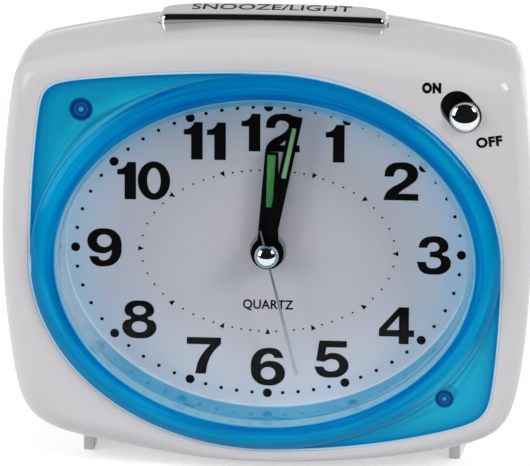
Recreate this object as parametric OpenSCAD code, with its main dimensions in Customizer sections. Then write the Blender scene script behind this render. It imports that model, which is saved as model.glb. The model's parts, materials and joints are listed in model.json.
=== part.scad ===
// Analog alarm clock: oval dial, leaf-shaped blue bezel, snooze bar and quartz alarm movement.
// Millimetres. +Z is up, +X is to the right of someone reading the dial, and the dial looks along -Y.
// The origin is on the ground under the middle of the clock. A depth is counted back from the case front.

/* [Case] */
// Width of the case at its widest
case_w = 115; // [112:1:125]
// Depth of the case from its front to its back
case_depth = 48; // [48:1:56]
// Depth of the front half of the case
front_depth = 36; // [36:0.5:38]
// Height of the dial centre above the ground
centre_z = 47; // [46.5:0.5:52]
// Case top above the dial centre
case_up = 49.2; // [49:0.2:54]
// Case bottom below the dial centre
case_down = 45.3; // [45:0.1:46]
// Radius of the bulging sides
side_bulge_r = 235; // [200:5:300]
// Height of the widest place above the dial centre
side_mid = 4.5; // [0:0.5:8]
// Radius of the crowned top
top_bulge_r = 220; // [200:5:300]
// Radius of the bulging bottom
bottom_bulge_r = 230; // [200:5:300]
// Radius of the upper corners of the outline
upper_corner_r = 3; // [2.5:0.5:6]
// Radius of the lower corners of the outline
lower_corner_r = 8.5; // [6:0.5:9]
// Rounding of the front edge
front_round = 4; // [2:0.5:5]
// Draft of the case from its front to its seam
side_draft = 0.6; // [0.2:0.1:0.8]
// How far the back edge draws in
rear_draw = 7; // [5:0.5:8]
// Depth of the rounded back edge
rear_round = 12; // [8:0.5:12]
// Wall of the case
wall = 2; // [1.6:0.1:2.4]
// Length of the lip that locates the rear cover
lip_len = 2; // [1.5:0.1:2]
// Thickness of that lip
lip_t = 1.2; // [0.8:0.1:1.6]
// Half the distance between the feet
foot_x = 40.5; // [36:0.5:44]
// Width of a foot
foot_w = 2.6; // [2:0.2:5]
// Depth where the feet start
foot_start = 12; // [8:1:16]
// Depth where the feet end
foot_end = 42; // [40:1:43]

/* [Face] */
// Distance of the bezel from the side of the case
bezel_side = 6; // [5.5:0.1:7.5]
// Half height of the bezel
bezel_z = 42.5; // [41:0.5:43]
// Flat border outside the raised ring
bezel_border = 0.4; // [0.3:0.1:1]
// Width of the raised ring
ring_w = 5.9; // [4:0.1:7]
// Rise of the raised ring over its edges
ring_rise = 1.4; // [0.8:0.1:2.5]
// Rise of the inner edge of the ring over its outer edge
ring_lift = 1.2; // [0:0.1:2]
// Depth of the recess that holds the bezel
recess_d = 2; // [1.6:0.1:2.6]
// How far the bezel plate lies below the case front
plate_sink = 0.2; // [0:0.1:0.6]
// Corner radius of the two squared corners
bezel_corner_r = 4.2; // [3:0.2:8]
// Bulge radius of the squared sides
bezel_side_r = 250; // [200:5:400]
// Bulge radius of the squared top
bezel_top_r = 375; // [300:5:500]
// Bulge radius of the squared bottom
bezel_bottom_r = 155; // [140:5:200]
// Depth of the bezel skirt
skirt_d = 6; // [5:0.5:8]
// Thickness of the bezel skirt
skirt_t = 1.2; // [0.8:0.1:1.6]
// Width of the step that the lens rests on
lens_lip = 1; // [0.6:0.1:1.4]
// Thickness of the lens flange
lens_flange_t = 1.2; // [1:0.1:1.6]
// Rise of the lens in front of its flange
lens_rise = 1.2; // [0.8:0.1:1.6]
// Bevel of the lens edge
lens_bevel = 0.8; // [0.4:0.1:1.2]
// Depth of the dial face
dial_d = 11; // [10.5:0.5:13]
// Draft of the wall between lens and dial
ring_draft = 1; // [0:0.2:2]
// Thickness of the dial sheet
dial_t = 0.4; // [0.3:0.1:0.6]
// Thickness of the dial plate
dial_plate_t = 1.6; // [1.2:0.1:2]
// Radius of the screw posts seen through the bezel corners
post_r = 2.6; // [2.2:0.1:3]
// Distance of those posts from the side of the bezel
post_side = 11.8; // [11:0.1:13]
// Height of the upper post above the dial centre
upper_post_z = 33.4; // [32:0.1:34]
// Depth of the lower post below the dial centre
lower_post_z = 29.2; // [29:0.1:31]
// Distance of the dial ears from the side of the bezel
ear_side = 1; // [0.5:0.1:1.5]
// Distance of the dial ears above or below the centre
ear_z = 14; // [12:1:16]
// Radius of a dial ear
ear_r = 3; // [2.6:0.1:3.2]

/* [Hands] */
// Turn of the hour hand
hour_turn = 2.2; // [0:0.1:360]
// Turn of the minute hand
minute_turn = 11.6; // [0:0.1:360]
// Turn of the second hand
second_turn = 166; // [0:0.5:360]
// Turn of the alarm hand
alarm_turn = 2.2; // [0:0.1:360]
// Length of the hour hand
hour_len = 22.7; // [18:0.1:26]
// Length of the minute hand
minute_len = 31.6; // [26:0.1:33]
// Length of the second hand
second_len = 27.6; // [20:0.1:32]
// Length of the alarm hand
alarm_len = 17; // [12:0.5:22]
// Thickness of the hands
hand_t = 0.5; // [0.4:0.1:0.7]
// Step from one hand to the next
hand_step = 1.2; // [1:0.1:1.3]
// Radius of the dome cap over the hub
cap_r = 2.65; // [2.2:0.05:3]
// Height of the dome cap
cap_h = 2; // [1.4:0.1:2]

/* [Movement] */
// Radius of the second arbor
second_r = 0.75; // [0.6:0.05:0.8]
// Wall of each tube that carries a hand
tube_t = 0.7; // [0.6:0.05:0.75]
// Running clearance of a shaft in its bore
run_gap = 0.05; // [0.03:0.01:0.08]
// Thickness of the movement plates
plate_t = 1.2; // [1:0.1:1.6]
// Half width of the movement plates
plate_x = 31; // [30:0.5:34]
// Half height of the movement plates
plate_z = 25; // [24.5:0.5:27]
// Thickness of a wheel
wheel_t = 1.2; // [0.8:0.1:1.3]
// Step from one layer of wheels to the next
layer_step = 1.7; // [1.6:0.05:1.8]
// Radius of the thin arbors
arbor_r = 0.6; // [0.5:0.05:0.7]
// Radius of the setting shafts
set_r = 1.1; // [0.9:0.05:1.2]
// Tooth module of the alarm wheels and the motion wheels
motion_mod = 0.4; // [0.39:0.005:0.41]
// Tooth module of the centre wheel and its pinion
centre_mod = 0.32; // [0.315:0.005:0.325]
// Tooth module of the second wheel and its pinion
second_mod = 0.34; // [0.335:0.005:0.345]
// Tooth module of the intermediate wheel and the rotor pinion
rotor_mod = 0.3; // [0.28:0.01:0.32]
// Radius of the rotor magnet
magnet_r = 2.2; // [1.8:0.1:2.4]
// Radius of the coil
coil_r = 2.3; // [2:0.1:2.4]

/* [Controls] */
// Width of the snooze bar
bar_w = 50; // [40:1:52]
// Depth of the snooze bar
bar_d = 11.2; // [10:0.1:11.3]
// Depth where the snooze bar starts
bar_start = 21.3; // [20:0.1:21.4]
// How far the snooze bar stands over the crown of the case
bar_rise = 1.5; // [1:0.1:3]
// Crown radius of the snooze bar top
bar_crown_r = 520; // [300:10:900]
// Width of the rounding at the rear corners of the bar
bar_corner_w = 12; // [4:0.5:14]
// Depth of that rounding
bar_corner_d = 5; // [2:0.5:6]
// Travel of the snooze bar
bar_travel = 1; // [0.6:0.1:1]
// Thickness of the flange that keeps the bar in
bar_flange_t = 1.2; // [1:0.1:1.6]
// Height of the snooze springs at rest
spring_h = 5.5; // [5:0.1:6]
// Radius of the alarm switch knob
knob_r = 3.3; // [2.8:0.1:3.6]
// How far the knob stands out of the case front
knob_rise = 2.2; // [1.5:0.1:3]
// Distance of the OFF position from the side of the case
switch_side = 14.8; // [14:0.1:15.5]
// Height of the OFF position above the dial centre
switch_z = 33.5; // [32.5:0.1:33.6]
// Travel from OFF to ON
switch_travel = 2.6; // [2:0.1:3]
// Slope of that travel, up and to the left
switch_slope = 50; // [40:1:60]
// Radius of the setting knobs on the back
set_knob_r = 6.5; // [5:0.5:8]
// Height of the setting knobs
set_knob_h = 4; // [3:0.5:6]

/* [Battery] */
// Radius of the cell
cell_r = 7.1; // [6.9:0.05:7.25]
// Length of the cell with its button
cell_len = 50.5; // [49:0.5:51]
// Height of the cell axis below the dial centre
cell_down = 24; // [23.5:0.1:24.4]
// Room for the spring contact
contact_room = 6; // [5:0.5:8]
// Wall of the battery tray
tray_t = 1; // [0.8:0.1:1.2]
// Thickness of the battery door
door_t = 1.2; // [1:0.1:1.4]

/* [Hidden] */
$fn = 48;

// Clearances and small features
fit_gap = 0.2;
seat_gap = 0.3;
eps = 0.02;
screw_r = 1.1;
screw_head_r = 2.4;
screw_head_t = 1.4;
bezel_x = case_w / 2 - bezel_side;
post_x = bezel_x - post_side;
posts = [[-post_x, upper_post_z], [post_x, -lower_post_z]];
ear_x = bezel_x - ear_side;
ears = [for (x = [-1, 1], z = [-1, 1]) [x * ear_x, z * ear_z]];
boss_r = 3.5;
boss_side = 12.5;
top_boss = [29, 36];
low_boss = [case_w / 2 - boss_side, -23.5];
bosses = [for (s = [-1, 1], b = [top_boss, low_boss]) [s * b[0], b[1]]];

// Depths of the stack from front to back
ring_top = ring_lift / 2 + sqrt(pow(ring_rise, 2) + pow(ring_lift / 2, 2));
overall_front = max(knob_rise, ring_top - plate_sink);
overall_back = case_depth + seat_gap + set_knob_h;
front_y = -(overall_back - overall_front) / 2;
face_t = 1.6;
inner_face = recess_d + face_t;
lens_front = recess_d - lens_rise;
lens_back = recess_d + lens_flange_t;
plate_front = dial_d + dial_t;
movement_d = plate_front + dial_plate_t;
train_d = movement_d + plate_t + 0.3;
back_plate_d = train_d + 6 * layer_step + wheel_t + 0.4;
movement_end = back_plate_d + plate_t;
back_inside = case_depth - wall;
function layer_d(i) = train_d + (i - 1) * layer_step;

// Ovals of the face
open_x = bezel_x - bezel_border - ring_w;
open_z = bezel_z - bezel_border - ring_w;
flange_x = open_x + lens_lip;
flange_z = open_z + lens_lip;
skirt_x = flange_x + fit_gap;
skirt_z = flange_z + fit_gap;

// Hands, counted from the dial outwards
function hand_d(i) = dial_d - 0.9 - hand_t - (i - 1) * hand_step;
minute_r = second_r + run_gap + tube_t;
hour_r = minute_r + run_gap + tube_t;
alarm_r = hour_r + run_gap + tube_t;

// Teeth of the wheels and places of their axes
alarm_teeth = 40;
alarm_set_teeth = 20;
hour_teeth = 40;
motion_pinion_teeth = 10;
cannon_teeth = 12;
motion_teeth = 36;
time_set_teeth = 24;
centre_teeth = 64;
third_pinion_teeth = 8;
third_teeth = 60;
second_pinion_teeth = 8;
second_teeth = 60;
inter_pinion_teeth = 10;
inter_teeth = 40;
rotor_teeth = 8;
function apart(m, a, b) = m * (a + b) / 2;
function polar(r, a) = [r * cos(a), r * sin(a)];
alarm_dir = 150;
motion_dir = 90;
third_dir = 270;
inter_dir = -20;
rotor_dir = -10;
alarm_axis = polar(apart(motion_mod, alarm_teeth, alarm_set_teeth), alarm_dir);
motion_apart = apart(motion_mod, cannon_teeth, motion_teeth);
motion_axis = polar(motion_apart, motion_dir);
hour_mod = 2 * motion_apart / (hour_teeth + motion_pinion_teeth);
time_apart = apart(motion_mod, motion_teeth, time_set_teeth);
time_dir = -asin((motion_axis[1] - alarm_axis[1]) / time_apart);
time_axis = motion_axis + polar(time_apart, time_dir);
third_apart = apart(centre_mod, centre_teeth, third_pinion_teeth);
third_axis = polar(third_apart, third_dir);
third_mod = 2 * third_apart / (third_teeth + second_pinion_teeth);
inter_axis = polar(apart(second_mod, second_teeth, inter_pinion_teeth), inter_dir);
rotor_axis = inter_axis + polar(apart(rotor_mod, inter_teeth, rotor_teeth), rotor_dir);
pillars = [for (x = [-1, 1], z = [-1, 1]) [x * (plate_x - 2.5), z * (plate_z - 3)]];
pillar_r = 2.2;
movement_screw_r = 1;

// Snooze bar heights above the dial centre
bar_side = 1.5;
bar_ends = 0.7;
function top_at(x) = case_up - top_bulge_r + sqrt(top_bulge_r * top_bulge_r - x * x);
function bottom_at(x) = bottom_bulge_r - case_down - sqrt(bottom_bulge_r * bottom_bulge_r - x * x);
flange_top = top_at(bar_w / 2 + bar_side) - side_draft - wall - seat_gap;
flange_low = flange_top - bar_flange_t;
shelf_top = flange_low - spring_h;
shelf_t = 1.2;
shelf_end = 1.4;
shelf_x = bar_w / 2 + bar_side + 0.7;
shelf_from = bar_start - 1;
shelf_to = bar_start + bar_d + 1;
spring_x = bar_w / 2 - 7;
spring_r = 2.4;
spring_turns = 5;
wire_r = 0.25;
bar_mid = bar_start + bar_d / 2;

// Alarm switch
switch_dir = [-cos(switch_slope), sin(switch_slope)];
switch_off = [case_w / 2 - switch_side, switch_z];
switch_on = switch_off + switch_travel * switch_dir;
slot_r = knob_r + seat_gap;
slider_d = inner_face + 0.15;
slider_t = 1.2;
slider_half = slot_r + switch_travel + 0.3;
switch_body_d = slider_d + slider_t + 0.15;
switch_body_t = 6;

// Battery bay
tray_front = movement_end + screw_head_t + seat_gap;
cell_gap = 0.4;
cell_d = tray_front + tray_t + cell_gap + cell_r;
contact_t = 0.5;
bay_left = -cell_len / 2 - contact_room;
bay_right = cell_len / 2 + contact_t;
bay_up = -cell_down + cell_r + cell_gap;
bay_low = -cell_down - cell_r - cell_gap;
door_rim = 1.5;
plug_t = 1.2;
tab_half = 1.5;
lead_r = 0.35;
lead_d = tray_front - 0.15 - 2 * lead_r;
board_left = 15.5;
board_right = 30;
board_low = -12;
board_up = 18;
board_t = 1.2;

// Stepping motor
leg_w = 2;
stator_d = layer_d(6);
stator_t = 0.8;
stator_left = rotor_axis[0] - magnet_r - leg_w / 2 - seat_gap;
stator_right = stator_left + 10;
coil_z = rotor_axis[1] - 10;
stator_low = coil_z - 2;

// Screw wells and buzzer of the rear cover
case_head_d = case_depth - 5;
buzzer_at = [-30, 18];
buzzer_r = 9;
buzzer_t = 4;
sound_r = 1;
sound_holes = concat([buzzer_at], [for (a = [0:60:300]) buzzer_at + polar(4.5, a)]);

// Outlines, each a list of distances from the dial centre at the same angles
function corner_power(r, half) = -ln(2) / ln(1 - (sqrt(2) - 1) * r / (sqrt(2) * half));
function arc_reach(a, c, r) = let (k = c * polar(1, a)) k + sqrt(k * k - c * c + r * r);
function total(v, i = 0) = i < len(v) ? v[i] + total(v, i + 1) : 0;
function soft_min(v, p) = pow(total([for (x = v) pow(x, -p)]), -1 / p);
case_arcs = [
    [[case_w / 2 - side_bulge_r, side_mid], side_bulge_r],
    [[side_bulge_r - case_w / 2, side_mid], side_bulge_r],
    [[0, case_up - top_bulge_r], top_bulge_r],
    [[0, bottom_bulge_r - case_down], bottom_bulge_r]];
case_half = (case_w + case_up + case_down) / 4;
upper_power = corner_power(upper_corner_r, case_half);
lower_power = corner_power(lower_corner_r, case_half);
leaf_power = corner_power(bezel_corner_r, (bezel_x + bezel_z) / 2);
function case_reach(a) = soft_min([for (s = case_arcs) arc_reach(a, s[0], s[1])],
    sin(a) > 0 ? upper_power : lower_power);
function oval_reach(a, x, z) = 1 / sqrt(pow(cos(a) / x, 2) + pow(sin(a) / z, 2));
function square_reach(a, x, z) = let (
        q = atan2(abs(sin(a)), abs(cos(a))),
        edge_r = sin(a) > 0 ? bezel_top_r : bezel_bottom_r)
    soft_min([arc_reach(q, [x - bezel_side_r, 0], bezel_side_r),
        arc_reach(q, [0, z - edge_r], edge_r)], leaf_power);
function leaf_reach(a) = bezel_border + (sin(a) * cos(a) > 0
    ? oval_reach(a, bezel_x - bezel_border, bezel_z - bezel_border)
    : square_reach(a, bezel_x - bezel_border, bezel_z - bezel_border));
quarter = concat([for (a = [0:5:25]) a], [for (a = [29:1.5:53]) a], [for (a = [57:6:87]) a]);
function odd_step(i) = i == 0 ? 0 : 90 - quarter[len(quarter) - i];
angles = [for (q = [0:3], i = [0:len(quarter) - 1]) 90 * q + (q % 2 == 0 ? quarter[i] : odd_step(i))];
case_line = [for (a = angles) case_reach(a)];
leaf_line = [for (a = angles) leaf_reach(a)];
function oval_line(x, z) = [for (a = angles) oval_reach(a, x, z)];
function grow(line, d) = [for (r = line) r + d];
seam_line = grow(case_line, -side_draft);
function level(d) = [for (a = angles) d];
function ring(line, depth) = [for (i = [0:len(angles) - 1])
    [line[i] * cos(angles[i]), front_y + depth[i], centre_z + line[i] * sin(angles[i])]];

// Faces between neighbouring rings of points
function band(k, l, n) = [for (i = [0:n - 1]) each let (j = (i + 1) % n)
    [[k * n + i, k * n + j, l * n + j], [k * n + i, l * n + j, l * n + i]]];
module loop(rings) {
    n = len(rings[0]);
    m = len(rings);
    polyhedron([for (r = rings) each r], [for (k = [0:m - 1]) each band(k, (k + 1) % m, n)]);
}
module stack(rings) {
    n = len(rings[0]);
    m = len(rings);
    first_cap = [for (i = [n - 1:-1:0]) i];
    last_cap = [for (i = [0:n - 1]) (m - 1) * n + i];
    polyhedron([for (r = rings) each r],
        concat([first_cap, last_cap], [for (k = [0:m - 2]) each band(k, k + 1, n)]));
}

// A tube along a path, with an outward direction given at each point
function unit(v) = v / norm(v);
module tube(path, outs, r, sides = 6) {
    last = len(path) - 1;
    stack([for (i = [0:last]) let (
            t = unit(path[min(i + 1, last)] - path[max(i - 1, 0)]),
            n = unit(outs[i] - (outs[i] * t) * t),
            b = cross(n, t))
        [for (k = [0:sides - 1]) path[i] + r * (cos(360 * k / sides) * n + sin(360 * k / sides) * b)]]);
}
module coil_spring(r, height, turns, wire) {
    steps = [0:turns * 8];
    rise = (height - 2 * wire) / (turns * 8);
    path = [for (i = steps) [r * cos(45 * i), r * sin(45 * i), wire + rise * i]];
    tube(path, [for (i = steps) [cos(45 * i), sin(45 * i), 0]], wire);
}

// Shapes placed by the dial centre and by depth
module slab(from, to) {
    translate([0, front_y + to, centre_z]) rotate([90, 0, 0]) linear_extrude(to - from) children();
}
module disc(at, r, from, to) {
    translate([at[0], front_y + to, centre_z + at[1]]) rotate([90, 0, 0]) cylinder(r = r, h = to - from);
}
module block(left, right, from, to, low, up) {
    translate([left, front_y + from, centre_z + low]) cube([right - left, to - from, up - low]);
}
module dome(at, r, from, to) {
    rise = to - from;
    ball = (r * r + rise * rise) / (2 * rise);
    intersection() {
        translate([at[0], front_y + from + ball, centre_z + at[1]]) sphere(r = ball, $fn = 96);
        disc(at, r + 1, from - 1, to);
    }
}
module screw(at, r, head_r, head_from, tip) {
    disc(at, head_r, head_from, head_from + screw_head_t);
    disc(at, r, tip, head_from + eps);
}

// Wheels with short thinned teeth
tooth_up = 0.6;
tooth_down = 0.9;
root_half = 0.26;
tip_half = 0.1;
function gear_points(teeth, m) = [for (i = [0:teeth - 1],
    p = [[-root_half, -tooth_down], [-tip_half, tooth_up], [tip_half, tooth_up], [root_half, -tooth_down]])
    polar(m * (teeth / 2 + p[1]), 360 * (i + p[0]) / teeth)];
function mesh_phase(phase, teeth, other, dir) = dir + 180 - (phase - dir) * teeth / other + 180 / other;
module gear(at, teeth, m, phase, layer) {
    slab(layer_d(layer), layer_d(layer) + wheel_t)
        translate(at) rotate(phase) polygon(gear_points(teeth, m));
}
motion_phase = mesh_phase(motion_dir, cannon_teeth, motion_teeth, motion_dir);

// Case
module front_case() {
    room = [for (i = [0:len(angles) - 1]) case_line[i] - leaf_line[i] - 2 * fit_gap];
    round_r = [for (x = room) soft_min([x, front_round], 6)];
    open_line = oval_line(skirt_x + skirt_t + seat_gap, skirt_z + skirt_t + seat_gap);
    recess_line = grow(leaf_line, fit_gap);
    edge = [for (t = [0:15:90]) ring(case_line - round_r * (1 - sin(t)), round_r * (1 - cos(t)))];
    color("whitesmoke") difference() {
        union() {
            loop(concat([ring(open_line, level(recess_d)), ring(recess_line, level(recess_d)),
                    ring(recess_line, level(0))], edge,
                [ring(seam_line, level(front_depth)), ring(grow(seam_line, -wall), level(front_depth)),
                    ring(grow(case_line, -wall), level(inner_face)), ring(open_line, level(inner_face))]));
            for (b = bosses) disc(b, boss_r, inner_face - face_t / 3, front_depth);
            for (e = ears) disc(e, ear_r, inner_face - face_t / 3, plate_front);
            for (s = [-1, 1]) foot(s, foot_start, front_depth);
            block(-shelf_x - eps, shelf_x + eps, shelf_from, shelf_to, shelf_top - shelf_t, shelf_top);
            for (left = [-shelf_x - shelf_end, shelf_x]) block(left, left + shelf_end, shelf_from, shelf_to,
                shelf_top - shelf_t, top_at(shelf_x + shelf_end) - side_draft - wall / 2);
        }
        translate([0, 0, centre_z + flange_top])
            linear_extrude(case_up + bar_rise - flange_top) bar_plan(fit_gap);
        slab(-1, inner_face + 1) switch_slot();
        for (p = posts) disc(p, post_r + fit_gap, 0, inner_face + 1);
        for (b = bosses) disc(b, screw_r + eps, inner_face + 2, front_depth + 1);
        for (e = ears) disc(e, screw_r + eps, inner_face + 1, plate_front + 1);
    }
}
module foot(side, from, to) {
    block(side * foot_x - foot_w / 2, side * foot_x + foot_w / 2, from, to, -centre_z,
        bottom_at(foot_x) + 0.95 * wall);
}
module switch_slot() {
    for (p = [switch_off, switch_on]) translate(p) circle(slot_r);
    translate((switch_off + switch_on) / 2) rotate(-switch_slope)
        square([switch_travel, 2 * slot_r], center = true);
}
module rear_cover() {
    lip_line = grow(seam_line, -wall - fit_gap);
    start = case_depth - rear_round;
    outer = [for (t = [15:15:90]) ring(grow(seam_line, -rear_draw * (1 - cos(t))),
        level(start + rear_round * sin(t)))];
    inner = [for (t = [90:-15:30]) ring(grow(seam_line, -wall - rear_draw * (1 - cos(t))),
        level(start + (rear_round - wall) * sin(t)))];
    color("whitesmoke") difference() {
        union() {
            stack(concat(inner, [ring(grow(seam_line, -wall - lip_t), level(front_depth + wall)),
                ring(grow(lip_line, -lip_t), level(front_depth + wall / 2)),
                ring(grow(lip_line, -lip_t), level(front_depth - lip_len)),
                ring(lip_line, level(front_depth - lip_len)),
                ring(lip_line, level(front_depth)), ring(seam_line, level(front_depth))], outer));
            for (b = bosses) disc(b, boss_r, front_depth, back_inside + wall / 4);
            for (s = [-1, 1]) foot(s, front_depth, foot_end);
        }
        for (b = bosses) {
            disc(b, screw_r + fit_gap, front_depth - 1, case_depth);
            disc(b, screw_head_r + fit_gap, case_head_d, case_depth + 1);
        }
        for (at = [time_axis, alarm_axis]) disc(at, set_r + seat_gap, back_inside - 1, case_depth + 1);
        for (at = sound_holes) disc(at, sound_r, back_inside - 1, case_depth + 1);
        block(bay_left + door_rim, bay_right - door_rim, back_inside - 1, case_depth + 1,
            bay_low + door_rim, bay_up - door_rim);
        block(bay_left, bay_right, case_depth - door_t, case_depth + 1, bay_low, bay_up);
    }
}
module case_screws() {
    color("silver") for (b = bosses) screw(b, screw_r, screw_head_r, case_head_d, front_depth - 10);
}

// Face
module bezel() {
    inner_line = oval_line(open_x, open_z);
    outer_line = oval_line(bezel_x - bezel_border, bezel_z - bezel_border);
    skirt_line = oval_line(skirt_x, skirt_z);
    skirt_out = grow(skirt_line, skirt_t);
    crown = [for (t = [0:18:180]) ring(inner_line + (outer_line - inner_line) * (1 - cos(t)) / 2,
        level(plate_sink - ring_rise * sin(t) - ring_lift * (1 + cos(t)) / 2))];
    color("deepskyblue", 0.8) difference() {
        union() {
            loop(concat([ring(inner_line, level(recess_d))], crown,
                [ring(leaf_line, level(plate_sink)), ring(leaf_line, level(recess_d)),
                    ring(skirt_out, level(recess_d)), ring(skirt_out, level(skirt_d)),
                    ring(skirt_line, level(skirt_d)), ring(skirt_line, level(recess_d))]));
            for (p = posts) disc(p, post_r, plate_sink + 0.5, inner_face);
        }
        for (p = posts) disc(p, screw_r + eps, plate_sink + 1, inner_face + 1);
    }
}
module bezel_screws() {
    color("silver") for (p = posts) screw(p, screw_r, post_r + 0.6, inner_face, plate_sink + 1.2);
}
module lens() {
    front_x = open_x - fit_gap;
    front_z = open_z - fit_gap;
    color("aliceblue", 0.3) stack([
        ring(oval_line(front_x - lens_bevel, front_z - lens_bevel), level(lens_front)),
        ring(oval_line(front_x, front_z), level(lens_front + lens_bevel)),
        ring(oval_line(front_x, front_z), level(recess_d)),
        ring(oval_line(flange_x, flange_z), level(recess_d)),
        ring(oval_line(flange_x, flange_z), level(lens_back))]);
}
module dial_ring() {
    color("skyblue", 0.6) loop([
        ring(oval_line(open_x, open_z), level(lens_back)),
        ring(oval_line(flange_x, flange_z), level(lens_back)),
        ring(oval_line(flange_x, flange_z), level(dial_d)),
        ring(oval_line(open_x - ring_draft, open_z - ring_draft), level(dial_d))]);
}
module oval(x, z) {
    polygon([for (a = angles) polar(oval_reach(a, x, z), a)]);
}
module dial() {
    color("lightsteelblue") slab(dial_d, plate_front) difference() {
        oval(flange_x, flange_z);
        circle(alarm_r + seat_gap);
    }
}
module dial_plate() {
    color("gainsboro") difference() {
        union() {
            slab(plate_front, movement_d) oval(flange_x, flange_z);
            for (z = [-1, 1])
                block(-ear_x, ear_x, plate_front, movement_d, z * ear_z - ear_r, z * ear_z + ear_r);
            for (e = ears) disc(e, ear_r, plate_front, movement_d);
        }
        disc([0, 0], alarm_r + seat_gap, plate_front - 1, movement_d + 1);
        for (e = ears) disc(e, screw_r + fit_gap, plate_front - 1, movement_d + 1);
        for (p = pillars) disc(p, movement_screw_r + eps, plate_front - 1, movement_d + 1);
    }
}
module dial_screws() {
    color("silver") for (e = ears) screw(e, screw_r, screw_head_r, movement_d, inner_face + 2);
}

// Controls on the case
module bar_plan(gap) {
    translate([0, front_y + bar_start]) offset(delta = gap) hull() {
        translate([-bar_w / 2, 0]) square([bar_w, bar_d - bar_corner_d]);
        for (s = [-1, 1]) translate([s * (bar_w / 2 - bar_corner_w), bar_d - bar_corner_d])
            scale([bar_corner_w, bar_corner_d]) circle(1);
    }
}
module snooze_bar() {
    color("silver") {
        intersection() {
            slab(bar_start, bar_start + bar_d) intersection() {
                translate([0, case_up + bar_rise - bar_crown_r]) circle(bar_crown_r, $fn = 720);
                translate([-bar_w / 2, flange_low]) square([bar_w, case_up + bar_rise - flange_low]);
            }
            translate([0, 0, centre_z + flange_low])
                linear_extrude(case_up + bar_rise - flange_low) bar_plan(0);
        }
        block(-bar_w / 2 - bar_side, bar_w / 2 + bar_side,
            bar_start - bar_ends, bar_start + bar_d + bar_ends, flange_low, flange_top);
    }
}
module snooze_springs() {
    color("gray") for (s = [-1, 1])
        translate([s * spring_x, front_y + bar_mid, centre_z + shelf_top + eps])
            coil_spring(spring_r, spring_h - 2 * eps, spring_turns, wire_r);
}
module snooze_switch() {
    body_h = spring_h - bar_travel - 0.8;
    color("dimgray") {
        block(-3, 3, bar_mid - 3, bar_mid + 3, shelf_top, shelf_top + body_h);
        translate([0, front_y + bar_mid, centre_z + shelf_top]) cylinder(r = 1.5, h = body_h + 0.7);
    }
}
module dial_lamp() {
    lamp_low = flange_z + skirt_t / 2;
    lamp_h = case_up - wall - side_draft - lamp_low;
    bulb_h = 4;
    color("lightyellow") translate([0, front_y + skirt_d + 2.4, centre_z + lamp_low]) {
        cylinder(r = 1.5, h = bulb_h);
        translate([0, 0, bulb_h - 0.5]) cylinder(r = 1.9, h = lamp_h - bulb_h + 0.5);
    }
}
module switch_knob() {
    rim = knob_rise / 4;
    color("silver") {
        dome(switch_off, knob_r, -knob_rise, -rim);
        disc(switch_off, knob_r, -rim, inner_face / 2);
        disc(switch_off, knob_r / 2, inner_face / 2, slider_d);
    }
}
module switch_slider() {
    color("black") slab(slider_d, slider_d + slider_t) translate(switch_off) rotate(-switch_slope)
        square([2 * slider_half, 2 * slot_r + 1], center = true);
}
module switch_body() {
    color("dimgray") slab(switch_body_d, switch_body_d + switch_body_t)
        translate((switch_off + switch_on) / 2) rotate(-switch_slope)
            square([2 * slot_r + switch_travel, 2 * slot_r], center = true);
}

// Hands
module blade(base, tip, length, hub_r, bore_r, turn, place) {
    from = hand_d(place);
    to = from + hand_t;
    difference() {
        union() {
            disc([0, 0], hub_r, from, to);
            slab(from, to) rotate(-turn)
                polygon([[base / 2, 0], [tip / 2, length], [-tip / 2, length], [-base / 2, 0]]);
        }
        disc([0, 0], bore_r, from - 1, to + 1);
    }
}
module alarm_hand() {
    color("dimgray") blade(1.8, 0.9, alarm_len, alarm_r + 0.8, alarm_r, alarm_turn, 1);
}
module hour_hand() {
    color("black") blade(4.8, 2.2, hour_len, hour_r + 1.1, hour_r, hour_turn, 2);
}
module minute_hand() {
    color("black") blade(3.6, 2.2, minute_len, minute_r + 1.5, minute_r, minute_turn, 3);
}
module second_hand() {
    tail = 5.7;
    color("lightgray") {
        blade(0.4, 0.6, second_len, cap_r - 0.3, second_r, second_turn, 4);
        blade(0.9, 0.9, tail, cap_r - 0.3, second_r, second_turn + 180, 4);
    }
}
module second_cap() {
    color("silver") dome([0, 0], cap_r, hand_d(4) - cap_h, hand_d(4));
}

// Movement
module plate(from) {
    slab(from, from + plate_t) difference() {
        square([2 * plate_x, 2 * plate_z], center = true);
        for (p = pillars) translate(p) circle(movement_screw_r + eps);
        for (p = [third_axis, inter_axis, rotor_axis]) translate(p) circle(arbor_r + run_gap);
        for (p = [time_axis, alarm_axis]) translate(p) circle(set_r + run_gap);
        children();
    }
}
module movement_front() {
    stud_end = layer_d(3) + wheel_t + 0.3;
    color("gainsboro") {
        plate(movement_d) circle(alarm_r + run_gap);
        disc(motion_axis, arbor_r, movement_d, stud_end);
        for (p = pillars) difference() {
            disc(p, pillar_r, movement_d + plate_t, back_plate_d);
            disc(p, movement_screw_r + eps, movement_d, back_plate_d + 1);
        }
    }
}
module movement_back() {
    color("gainsboro") {
        plate(back_plate_d) circle(second_r + run_gap);
        for (x = [stator_left, stator_right])
            disc([x, (coil_z + stator_low) / 2], leg_w / 2, stator_d + stator_t, back_plate_d);
    }
}
module movement_screws() {
    color("silver") for (p = pillars)
        screw(p, movement_screw_r, pillar_r, movement_end, plate_front + dial_plate_t / 3);
}
module tube_wheel(r, inside, from, layer) {
    difference() {
        union() {
            disc([0, 0], r, from, layer_d(layer) + wheel_t);
            children();
        }
        disc([0, 0], inside, from - 1, layer_d(layer) + wheel_t + 1);
    }
}
module alarm_wheel() {
    color("ivory") tube_wheel(alarm_r, hour_r + run_gap, hand_d(1), 1)
        gear([0, 0], alarm_teeth, motion_mod, alarm_dir, 1);
}
module hour_wheel() {
    color("ivory") tube_wheel(hour_r, minute_r + run_gap, hand_d(2), 2)
        gear([0, 0], hour_teeth, hour_mod, motion_dir, 2);
}
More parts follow.
